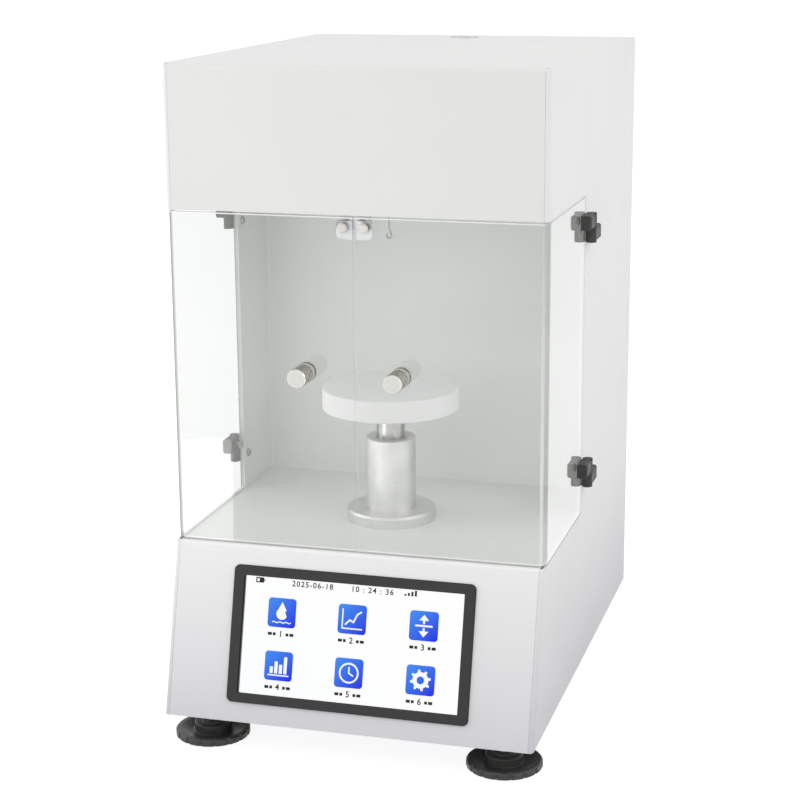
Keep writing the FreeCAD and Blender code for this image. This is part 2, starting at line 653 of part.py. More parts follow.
def stepper_motor():
    """Square stepper motor with chamfered corners, two end caps and a pilot boss."""
    half = MOTOR_SIDE / 2
    z0 = MOTOR_TOP_Z - MOTOR_H
    outline = rectangle((-half, half), (STAGE_Y - half, STAGE_Y + half))
    body = prism("xy", outline, 4.5, V(0, 0, MOTOR_H), V(0, 0, z0))
    inset = rectangle((-half + 0.8, half - 0.8), (STAGE_Y - half + 0.8, STAGE_Y + half - 0.8))
    core = prism("xy", inset, 5.5, V(0, 0, MOTOR_H - 18), V(0, 0, z0 + 9))
    band = prism("xy", outline, 4.5, V(0, 0, MOTOR_H - 18), V(0, 0, z0 + 9)).cut(core)
    body = body.cut(band).fuse(post(PILOT_R, (MOTOR_TOP_Z, MOTOR_TOP_Z + 2), 0, STAGE_Y))
    return body.cut(post(MOTOR_SHAFT_R + RUN_FIT, (MOTOR_TOP_Z - 12, MOTOR_TOP_Z + 3), 0, STAGE_Y))


def motor_bracket():
    outline = rectangle((-32, 32), (STAGE_Y - 32, STAGE_Y + 32))
    plate = prism("xy", outline, 5.0, V(0, 0, 3), V(0, 0, MOTOR_TOP_Z))
    return plate.cut(post(PILOT_R + SPIGOT_FIT, (MOTOR_TOP_Z - 1, MOTOR_TOP_Z + 4), 0, STAGE_Y))


def motor_standoffs():
    z = (MOTOR_TOP_Z + 3, DECK_Z - SHEET)
    return [post(3.5, z, x, STAGE_Y + y) for x in (-26, 26) for y in (-26, 26)]


# --- Weighing head -------------------------------------------------------------------------------

def load_cell():
    """Single-point bending beam with its double-bore flexure."""
    beam = box((-CELL_HALF_WIDTH, CELL_HALF_WIDTH), CELL_Y, CELL_Z)
    middle_z = (CELL_Z[0] + CELL_Z[1]) / 2
    middle_y = (CELL_Y[0] + CELL_Y[1]) / 2
    x = (-CELL_HALF_WIDTH - 1, CELL_HALF_WIDTH + 1)
    tools = [bar_x(7.8, x, middle_y + dy, middle_z) for dy in (-11, 11)]
    tools.append(box(x, (middle_y - 11, middle_y + 11), (middle_z - 3, middle_z + 3)))
    return cut_all(beam, tools)


def load_cell_bracket():
    foot = box((-14, 14), (CELL_Y[1] - 23, CELL_Y[1] + 3), (HEAD_Z + SHEET, HEAD_Z + SHEET + 3))
    block = box((-9, 9), (CELL_Y[1] - 19, CELL_Y[1]), (HEAD_Z + SHEET, CELL_Z[0]))
    return foot.fuse(block).removeSplitter()


def hook_hanger():
    """Fork under the free end of the load cell with the cross pin that carries the hook."""
    block = box((-4, 4), (STAGE_Y - 3, STAGE_Y + 3), (HOOK_HINGE_Z - 2, CELL_Z[0]))
    block = block.cut(box((-1.2, 1.2), (STAGE_Y - 4, STAGE_Y + 4), (HOOK_HINGE_Z - 3, HOOK_HINGE_Z + 3)))
    return block.fuse(bar_x(HANGER_PIN_R, (-4, 4), STAGE_Y, HOOK_HINGE_Z)).removeSplitter()


def weighing_hook():
    """Wire hook: flattened eye on the hanger's pin, straight stem and an open bowl at the bottom."""
    r = HOOK_WIRE_R
    bowl_z = HOOK_BOTTOM_Z + r + HOOK_BOWL_R
    eye = bar_x(HOOK_EYE_R + r, (-r, r), STAGE_Y, HOOK_HINGE_Z)
    eye = eye.cut(bar_x(HANGER_PIN_R + PIN_FIT, (-r - 1, r + 1), STAGE_Y, HOOK_HINGE_Z))
    bowl = Part.makeTorus(HOOK_BOWL_R, r, V(0, STAGE_Y, bowl_z), V(0, 1, 0))
    bowl = bowl.common(box((-4, 4), (STAGE_Y - 2, STAGE_Y + 2), (bowl_z - 4, bowl_z)))
    top = V(0, STAGE_Y, HOOK_HINGE_Z - HOOK_EYE_R)
    knee = V(0, STAGE_Y, bowl_z + 6.0)
    bowl_start = V(HOOK_BOWL_R, STAGE_Y, bowl_z)
    bowl_end = V(-HOOK_BOWL_R, STAGE_Y, bowl_z)
    tip = bowl_end + V(0.2, 0, 1.0)
    pieces = [bowl]
    for start, end in ((top, knee), (knee, bowl_start), (bowl_end, tip)):
        pieces.append(Part.makeCylinder(r, start.distanceToPoint(end), start, end - start))
    pieces += [Part.makeSphere(r, point) for point in (knee, bowl_start, bowl_end, tip)]
    return eye.multiFuse(pieces)


# --- Display -------------------------------------------------------------------------------------

def flat_block(half_width, v, w, radius):
    """Rounded block in slope coordinates, placed on the slope."""
    outline = rectangle((-half_width, half_width), v)
    return prism("xy", outline, radius, V(0, 0, w[1] - w[0]), V(0, 0, w[0]))


def display_bezel():
    rim = flat_block(BEZEL_W / 2, BEZEL_V, (0, BEZEL_PROUD), BEZEL_R)
    front_edges = [e for e in rim.Edges if all(abs(v.Z - BEZEL_PROUD) < 1e-6 for v in e.Vertexes)]
    rim = rim.makeFillet(1.0, front_edges)
    body = flat_block(BEZEL_W / 2 - 2.7, (BEZEL_V[0] + 2.7, BEZEL_V[1] - 2.7), (-8, 0), 1.8)
    window = flat_block(WINDOW_W / 2, WINDOW_V, (-9, 5), 0.6)
    rebate = flat_block(BEZEL_W / 2 - 4.5, (BEZEL_V[0] + 4.5, BEZEL_V[1] - 4.5), (-9, 0.4), 1.0)
    return on_slope(rim.fuse(body).cut(window).cut(rebate).removeSplitter())


def touch_glass():
    return on_slope(flat_block(BEZEL_W / 2 - 4.6, (BEZEL_V[0] + 4.6, BEZEL_V[1] - 4.6), (-1.4, 0.4), 0.9))


def lcd_module():
    return on_slope(flat_block(BEZEL_W / 2 - 4.6, (BEZEL_V[0] + 4.6, BEZEL_V[1] - 4.6), (-7.4, -1.4), 0.9))


def display_board():
    """Display controller board with its plug blocks, on four pillars behind the module."""
    board = flat_block(72, (24, 97), (-14, -12.4), 2.0)
    extras = [box((-20, 4), (40, 64), (-16, -14)), box((30, 62), (28, 36), (-21, -14)),
              box((-62, -50), (70, 92), (-20, -14))]
    for x in (-68, 68):
        for v in (28, 93):
            extras.append(post(2.5, (-12.4, -7.4), x, v))
    return on_slope(board.multiFuse(extras).removeSplitter())


# --- Electronics and connectors ------------------------------------------------------------------

def power_supply():
    """Enclosed switching supply with its terminal block."""
    case = box((-64, 46), (214, 292), (SHEET, SHEET + 36))
    step = box((26, 47), (213, 293), (SHEET + 22, SHEET + 37))
    terminals = box((28, 44), (222, 284), (SHEET + 22, SHEET + 32))
    return case.cut(step).fuse(terminals).removeSplitter()


def main_board():
    """Controller board on the back of the chamber wall, with drivers, relay and plug rows."""
    y0 = BACK_WALL_Y + SHEET + 8
    board = box((-85, 85), (y0, y0 + 1.6), (170, 300))
    top = y0 + 1.6
    extras = [box((-70, -44), (top, top + 15), (240, 268)), box((-20, 4), (top, top + 3), (225, 249)),
              box((30, 58), (top, top + 16), (250, 285)), box((-78, -10), (top, top + 9), (174, 183)),
              box((10, 78), (top, top + 9), (174, 183)), box((40, 70), (top, top + 5), (205, 235))]
    return board.multiFuse(extras).removeSplitter()


def board_standoffs():
    y = (BACK_WALL_Y + SHEET, BACK_WALL_Y + SHEET + 8)
    return [bar_y(3.0, y, x, z) for x in (-80, 80) for z in (175, 295)]


def power_inlet():
    """Appliance inlet: flange with two fixing holes and a keyed socket recess."""
    flange = prism("xz", rectangle((INLET_X - 25, INLET_X + 25), (INLET_Z - 12.5, INLET_Z + 12.5)),
                   4.0, V(0, 2.5, 0), V(0, REAR_Y, 0))
    body = box((INLET_X - 13.7, INLET_X + 13.7), (REAR_Y - 20, REAR_Y), (INLET_Z - 10.2, INLET_Z + 10.2))
    keyed = [(-12.25, -8.4), (12.25, -8.4), (12.25, 3.5), (7.5, 8.4), (-7.5, 8.4), (-12.25, 3.5)]
    recess = prism("xz", [(INLET_X + u, INLET_Z + v) for u, v in keyed], 0.8,
                   V(0, 30, 0), V(0, REAR_Y - 16.5, 0))
    holes = [bar_y(1.75, (REAR_Y - 1, REAR_Y + 5), INLET_X + dx, INLET_Z) for dx in (-20, 20)]
    return cut_all(flange.fuse(body), [recess] + holes).removeSplitter()


def inlet_pins():
    pins = []
    for dx, dz in ((-7, -2), (7, -2), (0, 2)):
        pins.append(box((INLET_X + dx - 1, INLET_X + dx + 1), (REAR_Y - 24, REAR_Y - 3),
                        (INLET_Z + dz - 2, INLET_Z + dz + 2)))
    return pins


def switch_housing():
    """Snap-in housing of the mains switch, open in the middle for the rocker."""
    flange = prism("xz", rectangle((SWITCH_X - 7.5, SWITCH_X + 7.5), (INLET_Z - 10.8, INLET_Z + 10.8)),
                   1.5, V(0, 1.8, 0), V(0, REAR_Y, 0))
    body = box((SWITCH_X - 6.4, SWITCH_X + 6.4), (REAR_Y - 16, REAR_Y), (INLET_Z - 9.6, INLET_Z + 9.6))
    half_x, half_z = SWITCH_HALF
    well = box((SWITCH_X - half_x, SWITCH_X + half_x), (REAR_Y - 12, REAR_Y + 3),
               (INLET_Z - half_z, INLET_Z + half_z))
    bearing = bar_x(TRUNNION_R + PIN_FIT, (SWITCH_X - half_x - 0.7, SWITCH_X + half_x + 0.7),
                    REAR_Y - ROCKER_PIVOT_DEPTH, INLET_Z)
    return cut_all(flange.fuse(body), [well, bearing]).removeSplitter()


def switch_rocker():
    """Two-faced rocker on its trunnions, tipped to its off side."""
    half_x = SWITCH_HALF[0] - 0.3
    face = [(-7.6, 2.2), (0, 1.0), (7.6, 2.2), (7.3, -4.0), (3, -7.0), (-3, -7.0), (-7.3, -4.0)]
    radii = [0.6, 6.0, 0.6, 0.6, 0.6, 0.6, 0.6]
    rocker = prism("yz", [(REAR_Y + h, INLET_Z + z) for z, h in face], radii,
                   V(2 * half_x, 0, 0), V(SWITCH_X - half_x, 0, 0))
    trunnion = bar_x(TRUNNION_R, (SWITCH_X - half_x - 0.8, SWITCH_X + half_x + 0.8),
                     REAR_Y - ROCKER_PIVOT_DEPTH, INLET_Z)
    rocker = rocker.fuse(trunnion).removeSplitter()
    rocker.rotate(V(SWITCH_X, REAR_Y - ROCKER_PIVOT_DEPTH, INLET_Z), V(1, 0, 0), -ROCKER_TILT)
    return rocker


def serial_port():
    """Nine-way D connector with its jack posts."""
    flange = prism("xz", rectangle((SERIAL_X - 15.5, SERIAL_X + 15.5), (SERIAL_Z - 6.2, SERIAL_Z + 6.2)),
                   1.5, V(0, 1.0, 0), V(0, REAR_Y, 0))
    shell_outline = [(-7.4, -4.1), (7.4, -4.1), (8.4, 4.1), (-8.4, 4.1)]
    shell = prism("xz", [(SERIAL_X + u, SERIAL_Z + v) for u, v in shell_outline], 1.8,
                  V(0, SERIAL_PROUD, 0), V(0, REAR_Y, 0))
    body = box((SERIAL_X - 9.6, SERIAL_X + 9.6), (REAR_Y - 8, REAR_Y), (SERIAL_Z - 5.2, SERIAL_Z + 5.2))
    posts = [bar_y(2.4, (REAR_Y, REAR_Y + 4.5), SERIAL_X + dx, SERIAL_Z) for dx in (-12.5, 12.5)]
    connector = flange.multiFuse([shell, body] + posts).removeSplitter()
    front = REAR_Y + SERIAL_PROUD
    inner_outline = [(-6.8, -3.5), (6.8, -3.5), (7.7, 3.5), (-7.7, 3.5)]
    tools = [prism("xz", [(SERIAL_X + u, SERIAL_Z + v) for u, v in inner_outline], 1.3,
                   V(0, 2.0, 0), V(0, front - 0.8, 0))]
    contacts = [(2.77 * i, 1.42) for i in range(-2, 3)] + [(2.77 * (i + 0.5), -1.42) for i in range(-2, 2)]
    tools += [bar_y(0.55, (front - 4.0, front + 1), SERIAL_X + u, SERIAL_Z + v) for u, v in contacts]
    tools += [bar_y(1.2, (REAR_Y + 1.5, REAR_Y + 6), SERIAL_X + dx, SERIAL_Z) for dx in (-12.5, 12.5)]
    return cut_all(connector, tools)


def level_body():
    """Cup of the bullseye level, sunk in the top cover with a thin rim."""
    profile = [(0, -8.0), (LEVEL_R - 2.0, -8.0), (LEVEL_R - 2.0, 0), (LEVEL_R, 0), (LEVEL_R, 0.2),
               (LEVEL_R - 0.4, 0.5), (LEVEL_R - 2.4, 0.5), (LEVEL_R - 2.4, -6.5), (0, -6.5)]
    return revolved(profile, 0, LEVEL_Y, HEIGHT)


def level_vial():
    return post(LEVEL_R - 2.4, (HEIGHT - 6.5, HEIGHT + 0.3), 0, LEVEL_Y)


# --- Feet ----------------------------------------------------------------------------------------

def foot_wheel(x, y):
    """Scalloped hand wheel moulded on a threaded stud."""
    base = -FOOT_DROP
    profile = [(0, 3.2), (0, 45.0), (STUD_R - 0.8, 45.0), (STUD_R, 44.2), (STUD_R, 11.4), (7.6, 11.4),
               (8.0, 11.0), (8.0, 10.3), (12.2, 10.3), (12.8, 9.7), (12.8, 4.0), (14.6, 4.0), (22.4, 5.8),
               (FOOT_R - 1.0, 5.9), (FOOT_R, 4.9), (FOOT_R, 1.5), (FOOT_R - 0.5, 1.0), (22.6, 1.0),
               (22.6, 2.2), (3.1, 2.2), (3.1, 3.2)]
    wheel = revolved(profile, x, y, base)
    scallops = []
    for i in range(SCALLOPS):
        angle = 2 * math.pi * i / SCALLOPS
        reach = FOOT_R + SCALLOP_R - SCALLOP_DEPTH
        centre = (x + reach * math.cos(angle), y + reach * math.sin(angle))
        scallops.append(post(SCALLOP_R, (base, base + 12), *centre))
    return cut_all(wheel, scallops)


def foot_pad(x, y):
    """Rubber pad that stays still while the wheel turns on it."""
    profile = [(0, 0), (21.0, 0), (22.0, 1.0), (22.0, 2.1), (3.0, 2.1), (3.0, 3.1), (0, 3.1)]
    return revolved(profile, x, y, -FOOT_DROP)


def foot_inserts():
    inserts = []
    profile = [(STUD_R + 0.07, 0), (6.0, 0), (6.0, SHEET), (8.0, SHEET), (8.0, SHEET + 1.2),
               (6.0, SHEET + 1.2), (6.0, 13.0), (STUD_R + 0.07, 13.0)]
    for x, y in FEET.values():
        inserts.append(revolved(profile, x, y, 0))
    return inserts


# --- Build ---------------------------------------------------------------------------------------

def build_cabinet():
    right = side_panel()
    save("side_panel_right", right)
    save("side_panel_left", mirrored(right))
    save("head_cover", head_cover())
    save("head_floor", head_floor())
    save("chamber_liner", chamber_liner())
    save("deck_plate", deck_plate())
    save("base_front_panel", base_front())
    save("base_plate", base_plate())
    save("rear_panel", rear_panel())
    save("cover_screws", *cover_screws())


def build_doors():
    for side, place in (("right", lambda s: s), ("left", mirrored)):
        save("door_pane_" + side, place(door_pane()))
        save("door_knob_" + side, place(door_knob()))
        save("strike_plate_" + side, place(strike_plate()))
        save("door_screws_" + side, *[place(s) for s in door_screws()])
        save("door_hinge_halves_" + side, *[place(s) for s in door_hinge_halves()])
    frame_halves = frame_hinge_halves()
    save("frame_hinge_halves", *(frame_halves + [mirrored(s) for s in frame_halves]))
    pins = hinge_pins()
    save("hinge_pins", *(pins + [mirrored(s) for s in pins]))
    save("magnet_catch", magnet_catch(), *catch_magnets())


def build_stage():
    save("stage_disc", stage_disc())
    save("lift_rod", lift_rod())
    save("lift_nut", lift_nut())
    save("column_flange", column_flange())
    save("column_sleeve", column_sleeve())
    save("guide_bushings", *guide_bushings())
    save("lead_screw", lead_screw())
    save("shaft_coupling", shaft_coupling())
    save("motor_shaft", motor_shaft())
    save("stepper_motor", stepper_motor())
    save("motor_bracket", motor_bracket())
    save("spacer_posts", *(motor_standoffs() + board_standoffs()))


def build_head():
    save("load_cell", load_cell())
    save("load_cell_bracket", load_cell_bracket())
    save("hook_hanger", hook_hanger())
    save("weighing_hook", weighing_hook())


def build_electrics():
    save("display_bezel", display_bezel())
    save("touch_glass", touch_glass())
    save("lcd_module", lcd_module())
    save("display_board", display_board())
    save("power_supply", power_supply())
    save("main_board", main_board())
    save("power_inlet", power_inlet(), *inlet_pins())
    save("switch_housing", switch_housing())
    save("switch_rocker", switch_rocker())
    save("serial_port", serial_port())
    save("level_body", level_body())
    save("level_vial", level_vial())


def build_feet():
    for corner, (x, y) in FEET.items():
        save("foot_wheel_" + corner, foot_wheel(x, y))
        save("foot_pad_" + corner, foot_pad(x, y))
    save("foot_inserts", *foot_inserts())


os.makedirs("parts", exist_ok=True)
build_cabinet()
build_doors()
build_stage()
build_head()
build_electrics()
build_feet()
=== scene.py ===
"""Looks of the bench surface tensiometer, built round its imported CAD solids.

Every CAD node gets a procedural material. The pieces added here are the knurl of the two door
pulls, the picture of the display, the marks on the rocker switch and the face of the level.
"""

import json
import math

import bmesh
import bpy
from mathutils import Matrix, Vector


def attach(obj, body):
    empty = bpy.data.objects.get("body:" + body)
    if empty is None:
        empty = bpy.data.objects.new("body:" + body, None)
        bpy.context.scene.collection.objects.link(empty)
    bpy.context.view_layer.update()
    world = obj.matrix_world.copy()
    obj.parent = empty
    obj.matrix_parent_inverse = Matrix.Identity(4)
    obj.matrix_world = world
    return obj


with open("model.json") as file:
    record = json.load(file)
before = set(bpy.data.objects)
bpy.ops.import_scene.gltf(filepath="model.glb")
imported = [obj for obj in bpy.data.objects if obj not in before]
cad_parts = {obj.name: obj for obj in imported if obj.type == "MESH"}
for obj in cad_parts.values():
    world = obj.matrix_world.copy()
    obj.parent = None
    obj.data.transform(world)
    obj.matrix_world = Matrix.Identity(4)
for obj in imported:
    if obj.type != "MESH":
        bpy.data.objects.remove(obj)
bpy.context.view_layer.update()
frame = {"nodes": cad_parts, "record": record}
NODES = frame["nodes"]

# Cabinet datum of the CAD source: millimetres, y from the head's front face, z from the
# underside of the base.
Y_MID = 149.0
FOOT_DROP = 23.0
DECK_Z = 117.0
HEIGHT = 443.0
REAR_Y = 327.0
STAGE_Y = 85.0
SLOPE_FOOT_Y, SLOPE_TOP_Y = -35.0, -3.0
SLOPE = math.atan2(SLOPE_TOP_Y - SLOPE_FOOT_Y, DECK_Z)
GLASS_W = 0.4
WINDOW_W, WINDOW_V = 155.5, (20.3, 101.0)
KNOB_X, KNOB_Z = 32.7, 241.5
PANE_SIDE_X, PANE_TOP = 130.0, 345.5
LEVEL_Y = 300.0
MAGNET_X, MAGNET_Z, MAGNET_R = 5.4, 341.2, 3.0
SERIAL_X, SERIAL_Z, SERIAL_PROUD = -60.0, 42.0, 6.0
INLET_X, INLET_Z = 78.0, 42.0
SWITCH_X, SWITCH_Z = 36.0, 42.0
ROCKER_TILT = 6.0
ROCKER_PIVOT_DEPTH = 4.0
FEET = {"front_left": (-105.0, -8.0), "front_right": (105.0, -8.0),
        "rear_left": (-90.0, 296.0), "rear_right": (90.0, 296.0)}
SIDES = {"right": 1, "left": -1}

# Threads, in metres a turn.
STUD_PITCH = 0.00125
LEAD_PITCH = 0.002


def at(x, y, z):
    """Point of the cabinet datum in the delivered frame, in metres."""
    return Vector((x, y - Y_MID, z + FOOT_DROP)) / 1000


def tint(r, g, b):
    """Linear RGBA of a colour given as 0-255 sRGB."""
    return tuple(c / 12.92 if c <= 0.04045 else ((c + 0.055) / 1.055) ** 2.4
                 for c in (r / 255, g / 255, b / 255)) + (1.0,)


# --- Material nodes -------------------------------------------------------------------------

class Tree:
    """Nodes of a material or of the world, written shortly.

    A material's place is the object's own coordinates, in metres. The world's is a direction.
    """

    def __init__(self, name, world=False):
        self.owner = (bpy.data.worlds if world else bpy.data.materials).new(name)
        self.owner.use_nodes = True
        self.nodes = self.owner.node_tree.nodes
        self.links = self.owner.node_tree.links
        self.nodes.clear()
        self.place = self.add("TexCoord").outputs["Generated" if world else "Object"]

    def add(self, kind, inputs=None, **settings):
        node = self.nodes.new("ShaderNode" + kind)
        for name, value in settings.items():
            setattr(node, name, value)
        for name, value in (inputs or {}).items():
            self.feed(node.inputs[name], value)
        return node

    def feed(self, socket, value):
        """Links a socket's value, or sets a plain one."""
        if isinstance(value, bpy.types.NodeSocket):
            self.links.new(value, socket)
        else:
            socket.default_value = value

    def math(self, operation, a, b=0.0, clamp=False):
        return self.add("Math", {0: a, 1: b}, operation=operation, use_clamp=clamp).outputs[0]

    def plus(self, a, b, clamp=False):
        return self.math("ADD", a, b, clamp)

    def minus(self, a, b):
        return self.math("SUBTRACT", a, b)

    def over(self, a, b):
        return self.math("DIVIDE", a, b)

    def size(self, a):
        return self.math("ABSOLUTE", a)

    def times(self, product, *factors):
        for factor in factors:
            product = self.math("MULTIPLY", product, factor)
        return product

    def most(self, highest, *others):
        for other in others:
            highest = self.math("MAXIMUM", highest, other)
        return highest

    def split(self, vector=None):
        return self.add("SeparateXYZ", {0: vector or self.place}).outputs

    def shifted(self, offset=(0, 0, 0), scale=(1, 1, 1), rotation=(0, 0, 0)):
        """The place, less an offset, then turned and scaled."""
        moved = self.add("VectorMath", {0: self.place, 1: tuple(offset)}, operation="SUBTRACT")
        return self.add("Mapping", {"Vector": moved.outputs[0], "Scale": scale,
                                    "Rotation": rotation}).outputs[0]

    def ramp(self, value, low, high, to=(0.0, 1.0), smooth=False):
        """The value's range low to high, as a range of its own."""
        node = self.add("MapRange", {"Value": value, "From Min": low, "From Max": high,
                                     "To Min": to[0], "To Max": to[1]})
        if smooth:
            node.interpolation_type = "SMOOTHSTEP"
        return node.outputs[0]

    def noise(self, scale, detail=3.0, roughness=0.55, vector=None):
        return self.add("TexNoise", {"Vector": vector or self.place, "Scale": scale,
                                     "Detail": detail, "Roughness": roughness}).outputs[0]

    def clouds(self, scale, detail=3.0, roughness=0.55, low=0.3, high=0.7, to=(0.0, 1.0)):
        """Noise, with its part from low to high spread over a range."""
        return self.ramp(self.noise(scale, detail, roughness), low, high, to)

    def mix(self, share, a, b):
        node = self.add("Mix", data_type="RGBA")
        for name, value in (("Factor", share), ("A", a), ("B", b)):
            self.feed(next(s for s in node.inputs if s.name == name and s.enabled), value)
        return next(s for s in node.outputs if s.enabled)

    def faces(self):
        """The face's own direction, in the object's axes: it stays with a part that turns."""
        true = self.add("NewGeometry").outputs["True Normal"]
        own = self.add("VectorTransform", {0: true}, vector_type="NORMAL",
                       convert_from="WORLD", convert_to="OBJECT").outputs[0]
        return self.split(own)

    def within(self, value, centre, half, soft=0.00005):
        """1 where the value is within half of the centre."""
        return self.ramp(self.size(self.minus(value, centre)), half + soft, half - soft)

    def radius(self, a, b):
        """Length of a pair of coordinates: the distance from an axis."""
        return self.math("SQRT", self.plus(self.times(a, a), self.times(b, b)))

    def helix(self, x, y, z, pitch):
        """Height of a screw thread round z: 1 on its crest, 0 in its root."""
        angle = self.over(self.math("ARCTAN2", y, x), 2 * math.pi)
        turn = self.math("FRACT", self.minus(self.over(z, pitch), angle))
        return self.times(self.size(self.minus(turn, 0.5)), 2.0)

    def bump(self, height, strength, distance, normal=None):
        inputs = {"Height": height, "Strength": strength, "Distance": distance}
        if normal is not None:
            inputs["Normal"] = normal
        return self.add("Bump", inputs).outputs[0]

    def rounded(self, radius):
        """Normal that rounds sharp edges, and a mask that is 1 on them."""
        soft = self.add("Bevel", {"Radius": radius}, samples=4).outputs[0]
        true = self.add("NewGeometry").outputs["True Normal"]
        facing = self.add("VectorMath", {0: soft, 1: true}, operation="DOT_PRODUCT")
        return soft, self.ramp(facing.outputs["Value"], 0.995, 0.86, smooth=True)

    def principled(self, colour, roughness, normal, **values):
        """Principled shader. A further input is named as on the node, in lower case."""
        inputs = {"Base Color": colour, "Roughness": roughness, "Normal": normal}
        for name, value in values.items():
            inputs[name.replace("_", " ").title().replace("Ior", "IOR")] = value
        return self.add("BsdfPrincipled", inputs).outputs[0]

    def finish(self, shader):
        self.add("OutputMaterial", {"Surface": shader})
        return self.owner

    def solid(self, colour, roughness, normal, **values):
        """Ends the tree in a Principled shader."""
        return self.finish(self.principled(colour, roughness, normal, **values))

    def lit(self, colour, under=(0.01, 0.01, 0.01, 1)):
        """Ends the tree as a glowing display colour under slightly smudged glass."""
        smudge = self.clouds(40.0, 5.0, 0.7, 0.4, 0.8, (0.06, 0.16))
        return self.solid(under, smudge, self.bump(self.noise(20.0), 0.05, 0.0001),
                          emission_color=colour, emission_strength=0.97,
                          specular_ior_level=0.1)


# --- Sheet, plastics and metals -------------------------------------------------------------

# A face counts as square to an axis from the first of these shares of it in the normal, and
# fully so from the second.
FLAT = (0.6, 0.9)
# Radii of edges, in metres.
SHEET_EDGE, METAL_EDGE = 0.00015, 0.0003


def painted(name, colour, shade, roughness=(0.34, 0.44), foot=None):
    """Powder-coated sheet: orange peel, faint unevenness and slightly worn edges.

    Below the deck the colour darkens towards the foot colour: painted shade.
    """
    t = Tree(name)
    soft, worn = t.rounded(SHEET_EDGE)
    body = t.mix(t.times(t.clouds(7.0, 4.0), 0.55), colour, shade)
    body = t.mix(t.times(t.clouds(260.0, 2.0), 0.10), body, shade)
    # Painted shade: the colour darkens towards the foot colour below the deck.
    if foot:
        body = t.mix(t.ramp(t.split()[2], at(0, 0, DECK_Z).z, at(0, 0, 0).z), body, foot)
    scuffs = t.times(worn, t.clouds(90.0, 4.0, 0.7, 0.45, 0.75))
    body = t.mix(t.times(scuffs, 0.2), body, tint(200, 201, 198))
    gloss = t.clouds(24.0, 5.0, 0.65, 0.25, 0.75, roughness)
    peel = t.plus(t.noise(1500.0, 2.0), t.times(t.noise(420.0, 2.0), 0.8))
    return t.solid(body, gloss, t.bump(peel, 0.18, 0.00012, soft))


def moulded(name, colour, pale, roughness=(0.42, 0.58), grain=0.0001, edge=0.0004, coat=0.0):
    """Moulded plastic: fine grain, rubbed edges that turn paler, dust in a faint cloud."""
    t = Tree(name)
    soft, worn = t.rounded(edge)
    dust = t.clouds(60.0, 5.0, 0.7, 0.48, 0.8)
    body = t.mix(t.times(dust, 0.22), colour, pale)
    rubbed = t.times(worn, t.clouds(300.0, high=0.65))
    body = t.mix(t.times(rubbed, 0.55), body, pale)
    gloss = t.clouds(140.0, 4.0, 0.6, to=roughness)
    return t.solid(body, gloss, t.bump(t.noise(2600.0, 2.0), 0.35, grain, soft),
                   coat_weight=coat)


def metal(name, colour, shade, roughness, stretch, spots=0.0):
    """Machined metal: tool marks are noise stretched along one axis. Handling leaves clouds."""
    t = Tree(name)
    soft, worn = t.rounded(METAL_EDGE)
    marks = t.noise(900.0, 3.0, 0.6, t.shifted(scale=stretch))
    cloud = t.clouds(45.0, 4.0, low=0.35)
    body = t.mix(t.times(cloud, 0.5), colour, shade)
    body = t.mix(t.times(t.ramp(marks, 0.35, 0.65), 0.18), body, shade)
    body = t.mix(t.times(worn, 0.4), body, tint(238, 236, 232))
    if spots:
        body = t.mix(t.times(t.clouds(130.0, 5.0, 0.75, 0.58, 0.8), spots), body, shade)
    wear = t.ramp(t.plus(t.times(marks, 0.5), t.times(cloud, 0.5)), 0.2, 0.8, roughness)
    return t.solid(body, wear, t.bump(marks, 0.4, 0.00003, soft), metallic=1.0)


def turned(name, colour, shade, roughness, centre, axis, pitch=0.00045, relief=0.00002,
           grooves=0.2, collar=None, face=None):
    """Metal turned on a lathe about an axis: fine rings on the end faces and round the body.

    A ribbed collar, between two distances along the axis, is dull. End faces may be painted
    greyer than the body: painted shade.
    """
    t = Tree(name)
    soft, worn = t.rounded(METAL_EDGE)
    x, y, z = t.split(t.shifted(centre))
    across, along = {"y": ((x, z), y), "z": ((x, y), z)}[axis]
    travel = t.add("CombineXYZ", {0: t.radius(*across), 1: along, 2: 0.0}).outputs[0]
    rings = t.noise(0.35 / pitch, 2.0, 0.7, travel)
    cloud = t.clouds(70.0, 4.0, low=0.35)
    body = t.mix(t.times(cloud, 0.45), colour, shade)
    body = t.mix(t.times(t.ramp(rings, 0.4, 0.62), grooves), body, shade)
    body = t.mix(t.times(worn, 0.5), body, tint(246, 243, 238))
    wear = t.ramp(t.plus(t.times(rings, 0.6), t.times(cloud, 0.4)), 0.2, 0.8, roughness)
    if collar:
        dull = t.within(along, -sum(collar) / 2, (collar[1] - collar[0]) / 2)
        ribs = t.ramp(t.noise(1400.0, 2.0, 0.7, t.shifted(scale=(1, 0.1, 1))), 0.4, 0.6)
        body = t.mix(dull, body, t.mix(ribs, tint(86, 83, 78), tint(150, 146, 139)))
        wear = t.plus(wear, t.times(dull, 0.15))
    # Painted shade: end faces greyer than the body.
    if face:
        level = t.size(t.faces()["xyz".index(axis)])
        body = t.mix(t.times(t.ramp(level, *FLAT), 0.8), body, face)
    return t.solid(body, wear, t.bump(rings, 0.5, relief, soft), metallic=1.0)


def galvanised():
    """Zinc-plated sheet with its crystal pattern."""
    t = Tree("galvanised_sheet")
    cells = t.add("TexVoronoi", {"Scale": 150.0}).outputs["Color"]
    flake = t.split(cells)[0]
    body = t.mix(flake, tint(176, 178, 178), tint(206, 208, 207))
    soft, _ = t.rounded(0.0004)
    return t.solid(body, t.ramp(flake, 0.0, 1.0, (0.28, 0.46)),
                   t.bump(t.noise(300.0), 0.3, 0.00004, soft), metallic=1.0)


# --- Acrylic doors --------------------------------------------------------------------------

ACRYLIC_IOR = 1.49
# Heights over which the painted highlight on the fold goes from faint, at the top, to strong.
FOLD_LIT_FROM_Z, FOLD_LIT_TO_Z = 190.0, 330.0


